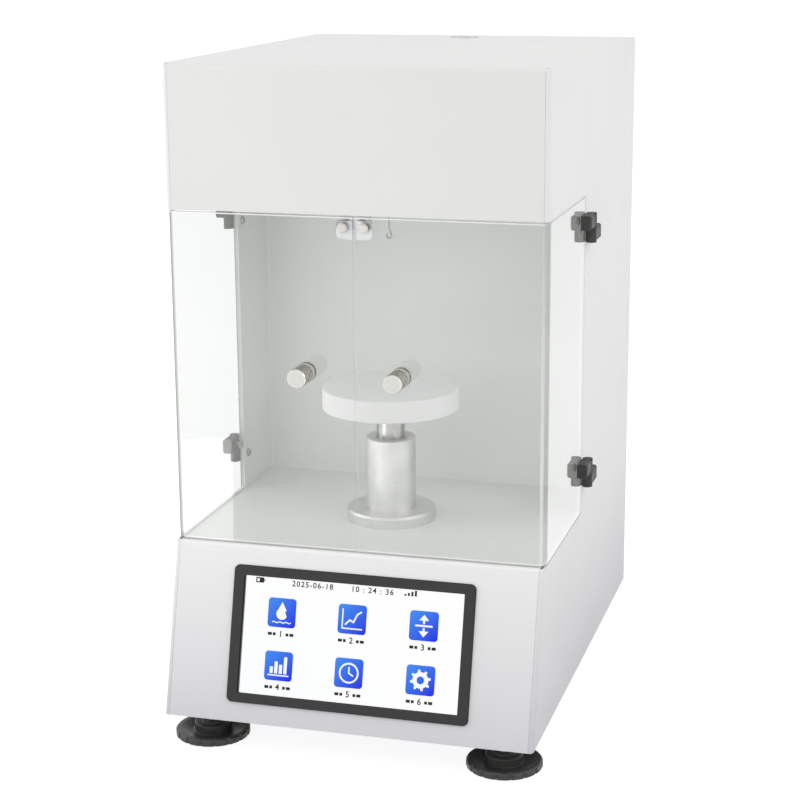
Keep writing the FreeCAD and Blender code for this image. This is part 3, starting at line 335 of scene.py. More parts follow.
def acrylic():
    """Clear bent sheet: see-through, mirrored by angle on both faces, with sawn edges. Painted
    highlight, glow and shade lines sit on the fold and by the edges.
    """
    t = Tree("clear_acrylic_sheet")
    outside = t.minus(1.0, t.add("NewGeometry").outputs["Backfacing"])
    waves = t.bump(t.noise(14.0, 2.0), 0.25, 0.0004)
    # Light goes to and fro between the two faces: together they mirror 2F / (1 + F).
    single = t.add("Fresnel", {"IOR": ACRYLIC_IOR, "Normal": waves}).outputs[0]
    mirror = t.over(t.times(single, 2.0), t.plus(single, 1.0))
    true = t.faces()
    normal = [t.size(n) for n in true]
    x, y, z = t.split()
    to_right = t.ramp(x, -0.05, 0.05)
    # The four cut edges of the sheet.
    top_edge = t.ramp(true[2], *FLAT)
    foot_edge = t.ramp(true[2], -FLAT[0], -FLAT[1])
    rear_edge = t.times(t.ramp(normal[1], *FLAT), t.ramp(y, -0.06, -0.05))
    seam_edge = t.times(t.ramp(normal[0], *FLAT), t.ramp(t.size(x), 0.02, 0.01))
    # Round the fold, from the front's normal to the side's: a painted highlight line on the
    # right door, then a grey line of painted shade.
    turned_by = t.over(t.math("ARCTAN2", normal[0], normal[1]), math.pi / 2)
    on_fold = t.ramp(t.times(normal[0], normal[1]), 0.02, 0.08)
    lit_height = t.ramp(z, at(0, 0, FOLD_LIT_TO_Z).z, at(0, 0, FOLD_LIT_FROM_Z).z, (0.1, 0.7))
    fold_painted_highlight = t.times(t.ramp(turned_by, 0.26, 0.31), t.ramp(turned_by, 0.46, 0.40),
                         lit_height, to_right)
    fold_painted_shade = t.times(on_fold, t.ramp(turned_by, 0.42, 0.5), t.ramp(turned_by, 0.95, 0.75))
    # Seen edge-on, the fold's outline goes dark: a darkening by angle, with painted shade that
    # is strongest at the left.
    # On a face hit from behind, the true normal comes turned round.
    edge_on = t.add("LayerWeight", {"Blend": 0.5}).outputs["Facing"]
    turned_round = t.minus(t.times(outside, 2.0), 1.0)
    outer = t.ramp(t.times(x, true[0], turned_round), 0.0, 0.004)
    rim_painted_shade = t.times(outer, t.ramp(edge_on, 0.14, 0.46), t.ramp(to_right, 0.0, 1.0, (1.0, 0.2)),
                  on_fold)
    rim_shade_grey = tint(184, 186, 182)
    # The hollow of the fold mirrors nothing.
    hollow = t.times(on_fold, t.minus(1.0, outer))
    mirror = t.times(mirror, t.times(outside, t.minus(1.0, hollow)))
    # Lines on the faces: next to the rear edge a grey line of painted shade, next to the top
    # edge a painted highlight line.
    rear_painted_shade_line = t.times(rear_edge, t.ramp(t.size(x), (PANE_SIDE_X - 1.0) / 1000,
                                          (PANE_SIDE_X - 0.6) / 1000))
    top_painted_highlight_line = t.times(t.ramp(z, at(0, 0, PANE_TOP - 0.8).z, at(0, 0, PANE_TOP - 0.6).z),
                       t.ramp(normal[1], *FLAT))
    clear = t.mix(fold_painted_shade, tint(252.6, 253, 252.8), tint(241, 243, 241))
    clear = t.mix(rim_painted_shade, clear, rim_shade_grey)
    clear = t.mix(rear_painted_shade_line, clear, tint(190, 191, 188))
    see = t.add("BsdfTransparent", {"Color": clear}).outputs[0]
    gloss = t.add("BsdfGlossy", {
        "Color": t.mix(rim_painted_shade, tint(255, 255, 255), rim_shade_grey),
        "Roughness": t.clouds(18.0, 5.0, 0.7, 0.5, 0.85, (0.02, 0.08)),
        "Normal": waves}).outputs[0]
    pane = t.add("MixShader", {0: mirror, 1: see, 2: gloss}).outputs[0]
    saw = t.noise(1200.0, 2.0, 0.6, t.shifted(scale=(1, 1, 0.05)))
    cut = t.ramp(saw, 0.3, 0.7)
    pale = t.mix(cut, tint(240, 243, 241), tint(250, 251, 250))
    # The foot edge takes this darker colour: painted shade.
    dark = t.mix(cut, tint(148, 148, 142), tint(170, 170, 164))
    # The polished top edge and the line below it glow faintly: painted light.
    glow = t.times(t.most(top_edge, top_painted_highlight_line), 0.1)
    edge = t.principled(t.mix(foot_edge, pale, dark), t.ramp(cut, 0.0, 1.0, (0.25, 0.45)),
                        t.bump(saw, 0.4, 0.00005), emission_color=pale, emission_strength=glow)
    share = t.most(t.times(t.most(top_edge, foot_edge), 0.75), t.times(rear_edge, 0.1),
                   t.times(seam_edge, 0.12), fold_painted_highlight, t.times(top_painted_highlight_line, 0.7))
    return t.finish(t.add("MixShader", {0: share, 1: pane, 2: edge}).outputs[0])


# --- Materials of single parts --------------------------------------------------------------

def board():
    """Circuit board: solder mask over copper runs, with pale solder pads."""
    t = Tree("circuit_board")
    runs = t.add("TexBrick", {
        "Vector": t.shifted(rotation=(math.radians(90), 0, 0)), "Scale": 260.0,
        "Mortar Size": 0.06, "Color1": (0, 0, 0, 1), "Color2": (0.2, 0.2, 0.2, 1),
        "Mortar": (1, 1, 1, 1)}).outputs[0]
    pads = t.add("TexVoronoi", {"Scale": 420.0}).outputs["Distance"]
    body = t.mix(t.clouds(30.0), tint(18, 84, 48), tint(26, 102, 58))
    body = t.mix(t.times(runs, 0.4), body, tint(52, 140, 84))
    body = t.mix(t.ramp(pads, 0.16, 0.1), body, tint(206, 200, 178))
    return t.solid(body, t.ramp(pads, 0.1, 0.3, (0.3, 0.45)), t.bump(runs, 0.4, 0.00008),
                   coat_weight=0.2)


def milk_disc():
    """Milk-white plastic turned flat: faint rings, soft matt gloss and small scratches."""
    t = Tree("milk_white_disc")
    soft, _ = t.rounded(0.0008)
    x, y, z = t.split(t.shifted(at(0, STAGE_Y, 0)))
    travel = t.add("CombineXYZ", {0: t.radius(x, y), 1: z, 2: 0.0}).outputs[0]
    rings = t.noise(900.0, 2.0, 0.6, travel)
    scratches = t.noise(500.0, 2.0, 0.7, t.shifted(scale=(1.0, 0.06, 1.0),
                                                   rotation=(0, 0, 0.6)))
    body = t.mix(t.clouds(16.0, 4.0), tint(247, 248, 247), tint(240, 242, 241))
    body = t.mix(t.times(t.ramp(scratches, 0.62, 0.75), 0.2), body, tint(214, 216, 214))
    height = t.plus(t.times(rings, 0.6), t.times(scratches, 0.4))
    return t.solid(body, t.ramp(rings, 0.3, 0.7, (0.4, 0.55)),
                   t.bump(height, 0.3, 0.00004, soft),
                   subsurface_weight=0.15, subsurface_scale=0.006)


def threaded_steel():
    """Lead screw: its thread is relief with roots painted dark as shade, above the cabinet's
    underside.
    """
    t = Tree("rolled_thread")
    x, y, z = t.split(t.shifted(at(0, STAGE_Y, 0)))
    crest = t.helix(x, y, z, LEAD_PITCH)
    shown = t.ramp(z, 0.0, 0.0002)
    # Painted shade: the thread's roots are darker.
    root = t.times(t.ramp(crest, 0.45, 0.1), shown)
    body = t.mix(t.clouds(200.0, 4.0), tint(190, 189, 186), tint(150, 149, 146))
    body = t.mix(t.times(root, 0.8), body, tint(58, 56, 52))
    return t.solid(body, t.clouds(400.0, to=(0.25, 0.4)),
                   t.bump(t.times(crest, shown), 0.9, 0.0004), metallic=1.0)


def vial():
    """Level vial: clear lid over tinted spirit."""
    t = Tree("level_spirit")
    body = t.mix(t.clouds(80.0), tint(206, 216, 132), tint(196, 207, 118))
    return t.solid(body, t.clouds(300.0, to=(0.05, 0.12)), t.bump(t.noise(120.0), 0.1, 0.00005),
                   coat_weight=1.0, coat_roughness=0.03)


def catch_case():
    """Zinc-plated catch case with the dark faces of its two magnets."""
    t = Tree("catch_case")
    x, y, z = t.split(t.shifted(at(0, 0, MAGNET_Z)))
    from_axis = t.radius(t.minus(t.size(x), MAGNET_X / 1000), z)
    magnet = t.ramp(from_axis, (MAGNET_R + 0.02) / 1000, (MAGNET_R - 0.04) / 1000)
    soft, worn = t.rounded(0.0002)
    body = t.mix(t.clouds(300.0, 4.0), tint(206, 207, 207), tint(186, 187, 187))
    body = t.mix(t.times(worn, 0.5), body, tint(224, 224, 222))
    body = t.mix(magnet, body, tint(134, 133, 131))
    return t.solid(body, t.clouds(240.0, to=(0.34, 0.5)),
                   t.bump(t.noise(500.0), 0.3, 0.00003, soft), metallic=1.0)


MOUTH_HALF_X, MOUTH_HALF_Z = 0.0077, 0.00355
INSULATOR_DEPTH, CONTACT_DEPTH = 0.0006, 0.0009


def serial_shell():
    """Nickel shell of the D connector. In its mouth: black insulator with gilt contacts."""
    t = Tree("serial_shell")
    x, y, z = t.split(t.shifted(at(SERIAL_X, REAR_Y + SERIAL_PROUD, SERIAL_Z)))
    mouth = t.times(t.within(x, 0.0, MOUTH_HALF_X), t.within(z, 0.0, MOUTH_HALF_Z))
    inside = t.times(mouth, t.ramp(y, -INSULATOR_DEPTH, -INSULATOR_DEPTH - 0.0001))
    contact = t.times(inside, t.ramp(y, -CONTACT_DEPTH, -CONTACT_DEPTH - 0.0001))
    soft, worn = t.rounded(0.0002)
    body = t.mix(t.clouds(220.0, 4.0), tint(206, 204, 198), tint(178, 175, 168))
    body = t.mix(t.times(worn, 0.4), body, tint(236, 234, 228))
    body = t.mix(inside, body, tint(26, 26, 28))
    body = t.mix(contact, body, tint(196, 160, 84))
    shine = t.minus(1.0, t.minus(inside, contact))
    return t.solid(body, t.clouds(300.0, to=(0.25, 0.42)),
                   t.bump(t.noise(900.0), 0.3, 0.00002, soft), metallic=shine)


BLADE_X, BLADE_Z, BLADE_DEPTH = 0.007, 0.002, 0.0028
BLADE_HALF_X, BLADE_HALF_Z = 0.00102, 0.00202


def inlet_body():
    """Black inlet moulding with three plated blades, the middle one higher."""
    t = Tree("inlet_moulding")
    x, y, z = t.split(t.shifted(at(INLET_X, REAR_Y, INLET_Z)))
    outer = t.times(t.within(t.size(x), BLADE_X, BLADE_HALF_X),
                    t.within(z, -BLADE_Z, BLADE_HALF_Z))
    middle = t.times(t.within(x, 0.0, BLADE_HALF_X), t.within(z, BLADE_Z, BLADE_HALF_Z))
    blade = t.times(t.most(outer, middle), t.ramp(y, -BLADE_DEPTH, -BLADE_DEPTH - 0.0001))
    soft, worn = t.rounded(0.0004)
    rubbed = t.times(worn, t.clouds(300.0))
    plate = t.mix(t.clouds(600.0, low=0.4, high=0.6), tint(208, 206, 200), tint(176, 173, 166))
    body = t.mix(blade, t.mix(rubbed, tint(30, 30, 30), tint(84, 84, 82)), plate)
    return t.solid(body, t.clouds(160.0, 4.0, to=(0.38, 0.54)),
                   t.bump(t.noise(2400.0), 0.35, 0.0001, soft), metallic=blade)


STUD_R, WHEEL_TOP = 0.0042, 0.01142


def foot_finish(corner, centre):
    """Black moulded hand wheel on its plated, threaded stud."""
    t = Tree("foot_wheel_" + corner)
    x, y, z = t.split(t.shifted(centre))
    stud = t.times(t.ramp(t.radius(x, y), STUD_R + 0.0001, STUD_R),
                   t.ramp(z, WHEEL_TOP, WHEEL_TOP + 0.00008))
    crest = t.helix(x, y, z, STUD_PITCH)
    soft, worn = t.rounded(0.0006)
    dust = t.clouds(60.0, 5.0, 0.7, 0.45, 0.8)
    plastic = t.mix(t.times(dust, 0.3), tint(53, 53, 52), tint(120, 120, 118))
    # Paler edges: wear, and partly a painted highlight on the flutes.
    plastic = t.mix(t.times(worn, 0.65), plastic, tint(116, 116, 114))
    # Painted shade: the stud's thread roots are darker.
    steel = t.mix(t.ramp(crest, 0.45, 0.1), tint(188, 187, 184), tint(70, 68, 64))
    height = t.plus(t.times(t.noise(2600.0, 2.0), 0.1), t.times(crest, stud))
    return t.solid(t.mix(stud, plastic, steel), t.clouds(140.0, 4.0, 0.6, to=(0.3, 0.42)),
                   t.bump(height, 0.6, 0.0004, soft), metallic=stud)


# --- Dressing the CAD nodes -----------------------------------------------------------------

finishes = {
    "shell_white": painted("powder_coat_white", tint(233, 234, 232), tint(226, 227, 226)),
    "inner_white": painted("powder_coat_inner", tint(237, 239, 237), tint(231, 233, 231),
                           (0.4, 0.5)),
    "clear_acrylic": acrylic(),
    "black_plastic": moulded("black_moulding", tint(31, 31, 30), tint(88, 88, 85)),
    "bezel_black": moulded("bezel_moulding", tint(17, 17, 19), tint(36, 36, 38), (0.42, 0.52)),
    "screen": moulded("black_glass", tint(12, 12, 14), tint(26, 26, 28), (0.05, 0.1), 0.00001,
                      0.0002, 1.0),
    "nickel": metal("nickel_plate", tint(222, 219, 212), tint(186, 182, 174), (0.16, 0.32),
                    (1, 1, 0.15)),
    "steel": metal("ground_steel", tint(196, 196, 194), tint(140, 139, 136), (0.2, 0.36),
                   (1, 1, 0.03)),
    "aluminium": metal("satin_aluminium", tint(216, 217, 217), tint(186, 187, 187),
                       (0.3, 0.44), (1, 1, 3)),
    "brass": metal("brass", tint(198, 164, 92), tint(150, 118, 62), (0.24, 0.4), (1, 1, 2),
                   spots=0.4),
    "milk_white": milk_disc(),
    "rubber": moulded("black_rubber", tint(24, 24, 24), tint(70, 69, 66), (0.75, 0.9), 0.0002),
    "board_green": board(),
    "motor_black": moulded("motor_black", tint(28, 29, 30), tint(120, 120, 118), (0.35, 0.5)),
    "level_clear": vial(),
    "zinc": galvanised(),
}


def dress(node, material):
    for slot in NODES[node].material_slots:
        slot.material = material


for part in frame["record"]["subparts"]:
    dress(part["node"], finishes[part["material_slot"]])

satin = turned("satin_turned_aluminium", tint(226, 226, 225), tint(206, 207, 206),
               (0.42, 0.56), at(0, STAGE_Y, 0), "z")
dress("column_sleeve", satin)
dress("column_flange", satin)
keeper = metal("keeper_steel", tint(210, 212, 213), tint(197, 199, 201), (0.48, 0.6),
               (1, 1, 0.08))
rivet = metal("screw_steel", tint(198, 195, 190), tint(182, 179, 173), (0.42, 0.55), (1, 1, 1))
# Side panels: a little lighter than the shell, as painted light, and darker below the deck, as
# painted shade.
side_sheet_painted_light_and_shade = painted("powder_coat_side_painted_light_and_shade", tint(235, 236, 236), tint(229, 230, 230),
                     foot=tint(220, 219, 225))
for side, sign in SIDES.items():
    # The door pulls' end faces are painted greyer, as painted shade.
    dress("door_knob_" + side, turned(
        "turned_nickel_" + side, tint(250, 248, 243), tint(208, 204, 196), (0.16, 0.26),
        at(sign * KNOB_X, 0, KNOB_Z), "y", pitch=0.0011, relief=0.00004, grooves=0.4,
        collar=(0.001, 0.0047), face=tint(190, 190, 187)))
    dress("strike_plate_" + side, keeper)
    dress("door_screws_" + side, rivet)
    dress("side_panel_" + side, side_sheet_painted_light_and_shade)
# Base front: lighter than the shell, as painted light, and darker towards the floor, as painted
# shade.
dress("base_front_panel", painted("powder_coat_base_painted_light_and_shade", tint(242, 242, 242), tint(237, 238, 238),
                                  foot=tint(230, 230, 235)))
for corner, (foot_x, foot_y) in FEET.items():
    dress("foot_wheel_" + corner, foot_finish(corner, at(foot_x, foot_y, -FOOT_DROP)))
dress("level_body", metal("level_cup", tint(206, 207, 206), tint(190, 191, 190), (0.5, 0.6),
                          (1, 1, 3)))
dress("weighing_hook", metal("drawn_wire", tint(176, 175, 171), tint(150, 148, 144),
                             (0.3, 0.45), (1, 1, 0.05)))
dress("magnet_catch", catch_case())
dress("serial_port", serial_shell())
dress("power_inlet", inlet_body())
dress("lead_screw", threaded_steel())


# --- Mesh helpers ---------------------------------------------------------------------------

def place(name, data, matrix):
    """Object of the scene, at a matrix."""
    thing = bpy.data.objects.new(name, data)
    bpy.context.scene.collection.objects.link(thing)
    thing.matrix_world = matrix
    return thing


def add_piece(name, mesh, body, materials, matrix):
    """Shows a mesh as one piece of the object that rides on a CAD body."""
    piece = place(name, mesh, matrix)
    for material in materials:
        mesh.materials.append(material)
    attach(piece, body)


def to_mesh(bm, name):
    mesh = bpy.data.meshes.new(name)
    bm.to_mesh(mesh)
    bm.free()
    return mesh


def facing(origin, axis):
    """Matrix whose z runs along the axis, at the origin."""
    turn = Vector(axis).to_track_quat("Z", "Y").to_matrix().to_4x4()
    return Matrix.Translation(origin) @ turn


# --- Door pulls, knurled --------------------------------------------------------------------

KNURL_TEETH = 36
KNURL_STEPS_ROUND, KNURL_STEPS_ALONG = KNURL_TEETH * 4, 76
KNURL_FROM, KNURL_TO = 8.2, 23.2
KNURL_ROOT, KNURL_TIP = 6.46, 6.64
KNURL_STEEPNESS = 2.2


def knurl_radius(turn, y):
    """Where two families of helical grooves cross, they leave pyramids."""
    climb = y / (2 * math.pi * KNURL_TIP / KNURL_TEETH)
    a = (turn * KNURL_TEETH + climb) % 1.0
    b = (turn * KNURL_TEETH - climb) % 1.0
    height = min(1.0, KNURL_STEEPNESS * min(a, 1 - a, b, 1 - b))
    return KNURL_ROOT + (KNURL_TIP - KNURL_ROOT) * height


def knurled_band(name):
    """Diamond knurl round the z axis. Its first and last rings lie at the root."""
    bm = bmesh.new()
    rings = []
    for k in range(KNURL_STEPS_ALONG + 1):
        y = KNURL_FROM + (KNURL_TO - KNURL_FROM) * (k / KNURL_STEPS_ALONG)
        ring = []
        for i in range(KNURL_STEPS_ROUND):
            turn = i / KNURL_STEPS_ROUND
            r = KNURL_ROOT if k in (0, KNURL_STEPS_ALONG) else knurl_radius(turn, y)
            angle = 2 * math.pi * turn
            ring.append(bm.verts.new((r * math.cos(angle) / 1000, r * math.sin(angle) / 1000,
                                      y / 1000)))
        rings.append(ring)
    for low, high in zip(rings, rings[1:]):
        for i in range(KNURL_STEPS_ROUND):
            j = (i + 1) % KNURL_STEPS_ROUND
            bm.faces.new((low[i], low[j], high[j], high[i]))
    bmesh.ops.recalc_face_normals(bm, faces=bm.faces)
    return to_mesh(bm, name)


def knurl_metal():
    """Tips painted bright over roots painted dark and dull: painted highlight and painted
    shade.
    """
    t = Tree("knurled_nickel")
    x, y, z = t.split()
    high = t.ramp(t.radius(x, y), KNURL_ROOT / 1000, KNURL_TIP / 1000)
    # Painted highlight on the tips, painted shade in the roots.
    body = t.mix(high, tint(134, 130, 122), tint(255, 251, 243))
    stain = t.clouds(620.0, low=0.44, high=0.6)
    body = t.mix(t.times(stain, 0.75), body, tint(112, 107, 98))
    return t.solid(body, t.ramp(high, 0.0, 1.0, (0.55, 0.26)),
                   t.bump(t.noise(3000.0), 0.3, 0.00003), metallic=1.0)


knurl_finish = knurl_metal()
for side, sign in SIDES.items():
    name = "knob_knurl_" + side
    add_piece(name, knurled_band(name), "door_" + side, [knurl_finish],
              facing(at(sign * KNOB_X, 0, KNOB_Z), (0, -1, 0)))


# --- Display picture ------------------------------------------------------------------------

class Drawing:
    """Flat shapes in millimetres on one plane. A shape's ink is its material and its height."""

    def __init__(self, heights):
        self.bm = bmesh.new()
        self.heights = heights

    def face(self, points, ink):
        height = self.heights[ink] / 1000
        made = self.bm.faces.new([self.bm.verts.new((x / 1000, y / 1000, height))
                                  for x, y in points])
        made.material_index = ink
        if made.normal.z < 0:
            made.normal_flip()

    def block(self, x, y, radius, ink, steps=6):
        """Rectangle with round corners."""
        points = []
        corners = ((x[1], y[0], -90), (x[1], y[1], 0), (x[0], y[1], 90), (x[0], y[0], 180))
        for cx, cy, start in corners:
            ox = cx - radius if cx == x[1] else cx + radius
            oy = cy - radius if cy == y[1] else cy + radius
            for k in range(steps + 1):
                angle = math.radians(start + 90 * k / steps)
                points.append((ox + radius * math.cos(angle), oy + radius * math.sin(angle)))
        self.face(points, ink)

    def band(self, inner, outer, ink):
        """Closed strip between two outlines of equal count."""
        count = len(inner)
        for i in range(count):
            j = (i + 1) % count
            self.face([inner[i], outer[i], outer[j], inner[j]], ink)

    @staticmethod
    def circle(centre, radius, count=40):
        return [(centre[0] + radius * math.cos(2 * math.pi * i / count),
                 centre[1] + radius * math.sin(2 * math.pi * i / count))
                for i in range(count)]

    def stroke(self, points, width, ink):
        """Line of one width with round ends and joints."""
        for (x0, y0), (x1, y1) in zip(points, points[1:]):
            length = math.hypot(x1 - x0, y1 - y0)
            ox, oy = (y0 - y1) / length * width / 2, (x1 - x0) / length * width / 2
            self.face([(x0 + ox, y0 + oy), (x0 - ox, y0 - oy), (x1 - ox, y1 - oy),
                       (x1 + ox, y1 + oy)], ink)
        for point in points:
            self.face(self.circle(point, width / 2, 16), ink)

    def figures(self, words, size, centre, ink):
        """Plain numbers, a little emboldened, centred on a point."""
        curve = bpy.data.curves.new("figures", "FONT")
        curve.body = words
        curve.size = size / 1000
        curve.offset = 0.018 * size / 1000
        curve.space_character = 1.2
        curve.align_x, curve.align_y = "CENTER", "CENTER"
        curve.resolution_u = 3
        holder = bpy.data.objects.new("figures", curve)
        mesh = bpy.data.meshes.new_from_object(holder)
        mesh.transform(Matrix.Translation(Vector((*centre, self.heights[ink])) / 1000))
        first = len(self.bm.faces)
        self.bm.from_mesh(mesh)
        self.bm.faces.ensure_lookup_table()
        for made in self.bm.faces[first:]:
            made.material_index = ink
        bpy.data.objects.remove(holder)
        bpy.data.curves.remove(curve)
        bpy.data.meshes.remove(mesh)

    def mesh(self, name):
        return to_mesh(self.bm, name)


WHITE, BLUE, DARK, GLYPH = range(4)

# Layout of the page: x from the middle, v up the slope, in millimetres.
PAGE_INSET, PAGE_LEFT_INSET = 0.2, 1.3
TILE, TILE_CORNER = 20.0, 2.4
TILE_X = (-49.3, 0.8, 50.9)
TILE_V = (77.3, 41.0)
NUMBER_SIZE, NUMBER_DROP = 5.8, 14.6
WORD_BARS, WORD_DROP = ((3.6, 5.6), (6.3, 9.2)), (15.7, 13.7)
STATUS_SIZE, STATUS_V = 5.3, 97.6
DATE_X, CLOCK_X = -28.7, 13.6
SIGNAL_X, SIGNAL_V, SIGNAL_PITCH, SIGNAL_BAR = 36.0, 96.4, 2.4, 1.5


def drop_glyph(d, x, y):
    """A drop over a rippled surface."""
    outline = []
    for k in range(33):
        angle = math.radians(120 + 300 * k / 32)
        outline.append((x + 4.0 * math.sin(angle), y - 0.8 + 4.0 * math.cos(angle)))
    outline.append((x, y + 7.4))
    d.face(outline, GLYPH)
    d.stroke([(x - 6.5 + 13 * k / 12, y - 6.6 + 0.45 * math.sin(k * math.pi / 2))
              for k in range(13)], 0.7, GLYPH)


def curve_glyph(d, x, y):
    """A measured curve between its axes."""
    d.stroke([(x - 6.8, y + 6.6), (x - 6.8, y - 6.4), (x + 7.0, y - 6.4)], 0.9, GLYPH)
    d.stroke([(x - 4.6, y - 3.6), (x - 1.6, y - 0.6), (x + 1.0, y - 2.0), (x + 3.4, y + 3.4),
              (x + 6.2, y + 5.2)], 1.1, GLYPH)


def lift_glyph(d, x, y):
    """Arrows up and down from a line: the stage's travel."""
    d.stroke([(x - 5.6, y), (x + 5.6, y)], 1.2, GLYPH)
    for sign in (-1, 1):
        d.face([(x - 3.4, y + sign * 3.6), (x + 3.4, y + sign * 3.6), (x, y + sign * 7.6)],
               GLYPH)
        d.stroke([(x, y + sign * 1.9), (x, y + sign * 3.8)], 1.4, GLYPH)


def bars_glyph(d, x, y):
    """Bar chart."""
    d.stroke([(x - 7.2, y - 6.4), (x + 7.2, y - 6.4)], 0.9, GLYPH)
    for k, height in enumerate((4.6, 8.2, 6.2, 11.6)):
        left = x - 6.2 + 3.3 * k
        d.block((left, left + 2.3), (y - 5.2, y - 5.2 + height), 0.3, GLYPH, 2)


def clock_glyph(d, x, y):
    d.band(d.circle((x, y), 5.8), d.circle((x, y), 7.0), GLYPH)
    d.stroke([(x, y + 3.8), (x, y), (x + 2.9, y - 1.7)], 1.0, GLYPH)


def gear_glyph(d, x, y):
    teeth, steps = 8, 8
    inner, outer = [], []
    for i in range(teeth * steps):
        angle = 2 * math.pi * i / (teeth * steps)
        reach = 7.2 if i % steps in (1, 2, 3) else 5.5
        inner.append((x + 2.6 * math.cos(angle), y + 2.6 * math.sin(angle)))
        outer.append((x + reach * math.cos(angle), y + reach * math.sin(angle)))
    d.band(inner, outer, GLYPH)


def draw_tiles(d):
    """Six tiles with pictograms. Below each: its number between short bars."""
    glyphs = (drop_glyph, curve_glyph, lift_glyph, bars_glyph, clock_glyph, gear_glyph)
    places = [(x, v) for v in TILE_V for x in TILE_X]
    for number, (glyph, (x, v)) in enumerate(zip(glyphs, places), 1):
        d.block((x - TILE / 2, x + TILE / 2), (v - TILE / 2, v + TILE / 2), TILE_CORNER, BLUE)
        glyph(d, x, v)
        d.figures(str(number), NUMBER_SIZE, (x, v - NUMBER_DROP), DARK)
        for sign in (-1, 1):
            for start, end in WORD_BARS:
                reach = sorted((x + sign * start, x + sign * end))
                d.block(reach, [v - drop for drop in WORD_DROP], 0.2, DARK, 2)


def draw_status_row(d):
    """Battery, date, clock and signal bars."""
    d.figures("2025-06-18", STATUS_SIZE, (DATE_X, STATUS_V), DARK)
    d.figures("10 : 24 : 36", STATUS_SIZE, (CLOCK_X, STATUS_V), DARK)
    d.block((-69.4, -63.6), (96.6, 100.2), 0.5, DARK)
    d.block((-63.4, -62.8), (97.7, 99.1), 0.1, DARK, 1)
    d.block((-68.6, -66.8), (97.4, 99.4), 0.1, GLYPH, 1)
    for k in range(4):
        left = SIGNAL_X + SIGNAL_PITCH * k
        d.block((left, left + SIGNAL_BAR), (SIGNAL_V, SIGNAL_V + 1.2 + 0.9 * k), 0.2, DARK, 2)


def display_picture():
    """Home page of the display, all of it generic."""
    d = Drawing({WHITE: 0.0, BLUE: 0.08, DARK: 0.08, GLYPH: 0.16})
    d.block((-WINDOW_W / 2 + PAGE_LEFT_INSET, WINDOW_W / 2 - PAGE_INSET),
            (WINDOW_V[0] + PAGE_INSET, WINDOW_V[1] - PAGE_INSET), 0.5, WHITE)
    draw_tiles(d)
    draw_status_row(d)
    return d.mesh("display_picture")


def display_colour(name, low, high, along):
    """One colour of the display, with the panel's faint drift along a direction."""
    t = Tree(name)
    slope = t.add("VectorMath", {0: t.place, 1: along}, operation="DOT_PRODUCT")
    share = t.ramp(slope.outputs["Value"], -0.1, 0.1)
    share = t.plus(share, t.times(t.minus(t.noise(30.0), 0.5), 0.3), True)
    return t.lit(t.mix(share, low, high))


def tile_blue():
    """The tiles' blue, from light at the upper left corner to deep at the lower right one."""
    t = Tree("display_blue")
    x, y, z = t.split()
    local = []
    for value, start, pitch in ((x, TILE_X[0], TILE_X[1] - TILE_X[0]),
                                (y, TILE_V[1], TILE_V[0] - TILE_V[1])):
        cell = t.over(t.minus(value, start / 1000), pitch / 1000)
        offset = t.minus(t.math("FRACT", t.plus(cell, 0.5)), 0.5)
        local.append(t.times(offset, pitch / TILE))
    share = t.plus(t.times(t.minus(*local), 0.5), 0.5, True)
    share = t.plus(share, t.times(t.minus(t.noise(60.0), 0.5), 0.08), True)
    return t.lit(t.mix(share, tint(58, 140, 244), tint(0, 2, 226)), (0.01, 0.01, 0.02, 1))


def slope_matrix(w):
    """Drawing plane on the sloped front: x across, y up the slope, w millimetres off it."""
    c, s = math.cos(SLOPE), math.sin(SLOPE)
    turn = Matrix(((1, 0, 0), (0, s, -c), (0, c, s))).to_4x4()
    foot = Matrix.Translation(at(0, SLOPE_FOOT_Y, 0))
    return foot @ turn @ Matrix.Translation((0, 0, w / 1000))


page_inks = [
    display_colour("display_white", tint(250, 252, 254), tint(255, 255, 255), (1, 1, 0)),
    tile_blue(),
    display_colour("display_dark", tint(16, 16, 20), tint(30, 30, 36), (1, 0, 0)),
    display_colour("display_glyph", tint(236, 242, 252), tint(255, 255, 255), (0, 1, 0)),
]
add_piece("display_picture", display_picture(), "cabinet", page_inks,
          slope_matrix(GLASS_W + 0.05))


# --- Rocker marks and level -----------------------------------------------------------------

MARK, BUBBLE = 0, 1
# Length of each rocker face, its fall towards the waist, and how far the waist stands out.
ROCKER_HALF, ROCKER_DIP, WAIST_PROUD = 7.6, 1.2, 1.0
LEVEL_FACE_RISE = 0.33
BUBBLE_PLACE, BUBBLE_R = (0.5, 0.4), 3.1


def rocker_marks():
    """On and off marks, one on each of the two faces that slope down to the rocker's waist."""
    d = Drawing({MARK: 0.04})
    for sign in (-1, 1):
        first = len(d.bm.verts)
        if sign > 0:
            d.block((-0.35, 0.35), (2.6, 6.0), 0.1, MARK, 2)
        else:
            d.band(d.circle((0, -4.3), 1.15), d.circle((0, -4.3), 1.75), MARK)
        d.bm.verts.ensure_lookup_table()
        fold = Matrix.Rotation(sign * math.atan2(ROCKER_DIP, ROCKER_HALF), 4, "X")
        for vert in d.bm.verts[first:]:
            vert.co = fold @ vert.co
    return d.mesh("rocker_marks")


def rocker_matrix():
    """Drawing plane on the rocker's waist: y up, z out of the rear panel, tipped like it."""
    pivot = at(SWITCH_X, REAR_Y - ROCKER_PIVOT_DEPTH, SWITCH_Z)
    tip = Matrix.Rotation(math.radians(-ROCKER_TILT), 4, "X")
    waist = Matrix.Translation((0, (ROCKER_PIVOT_DEPTH + WAIST_PROUD) / 1000, 0))
    outward = Matrix(((-1, 0, 0), (0, 0, 1), (0, 1, 0))).to_4x4()
    return Matrix.Translation(pivot) @ tip @ waist @ outward


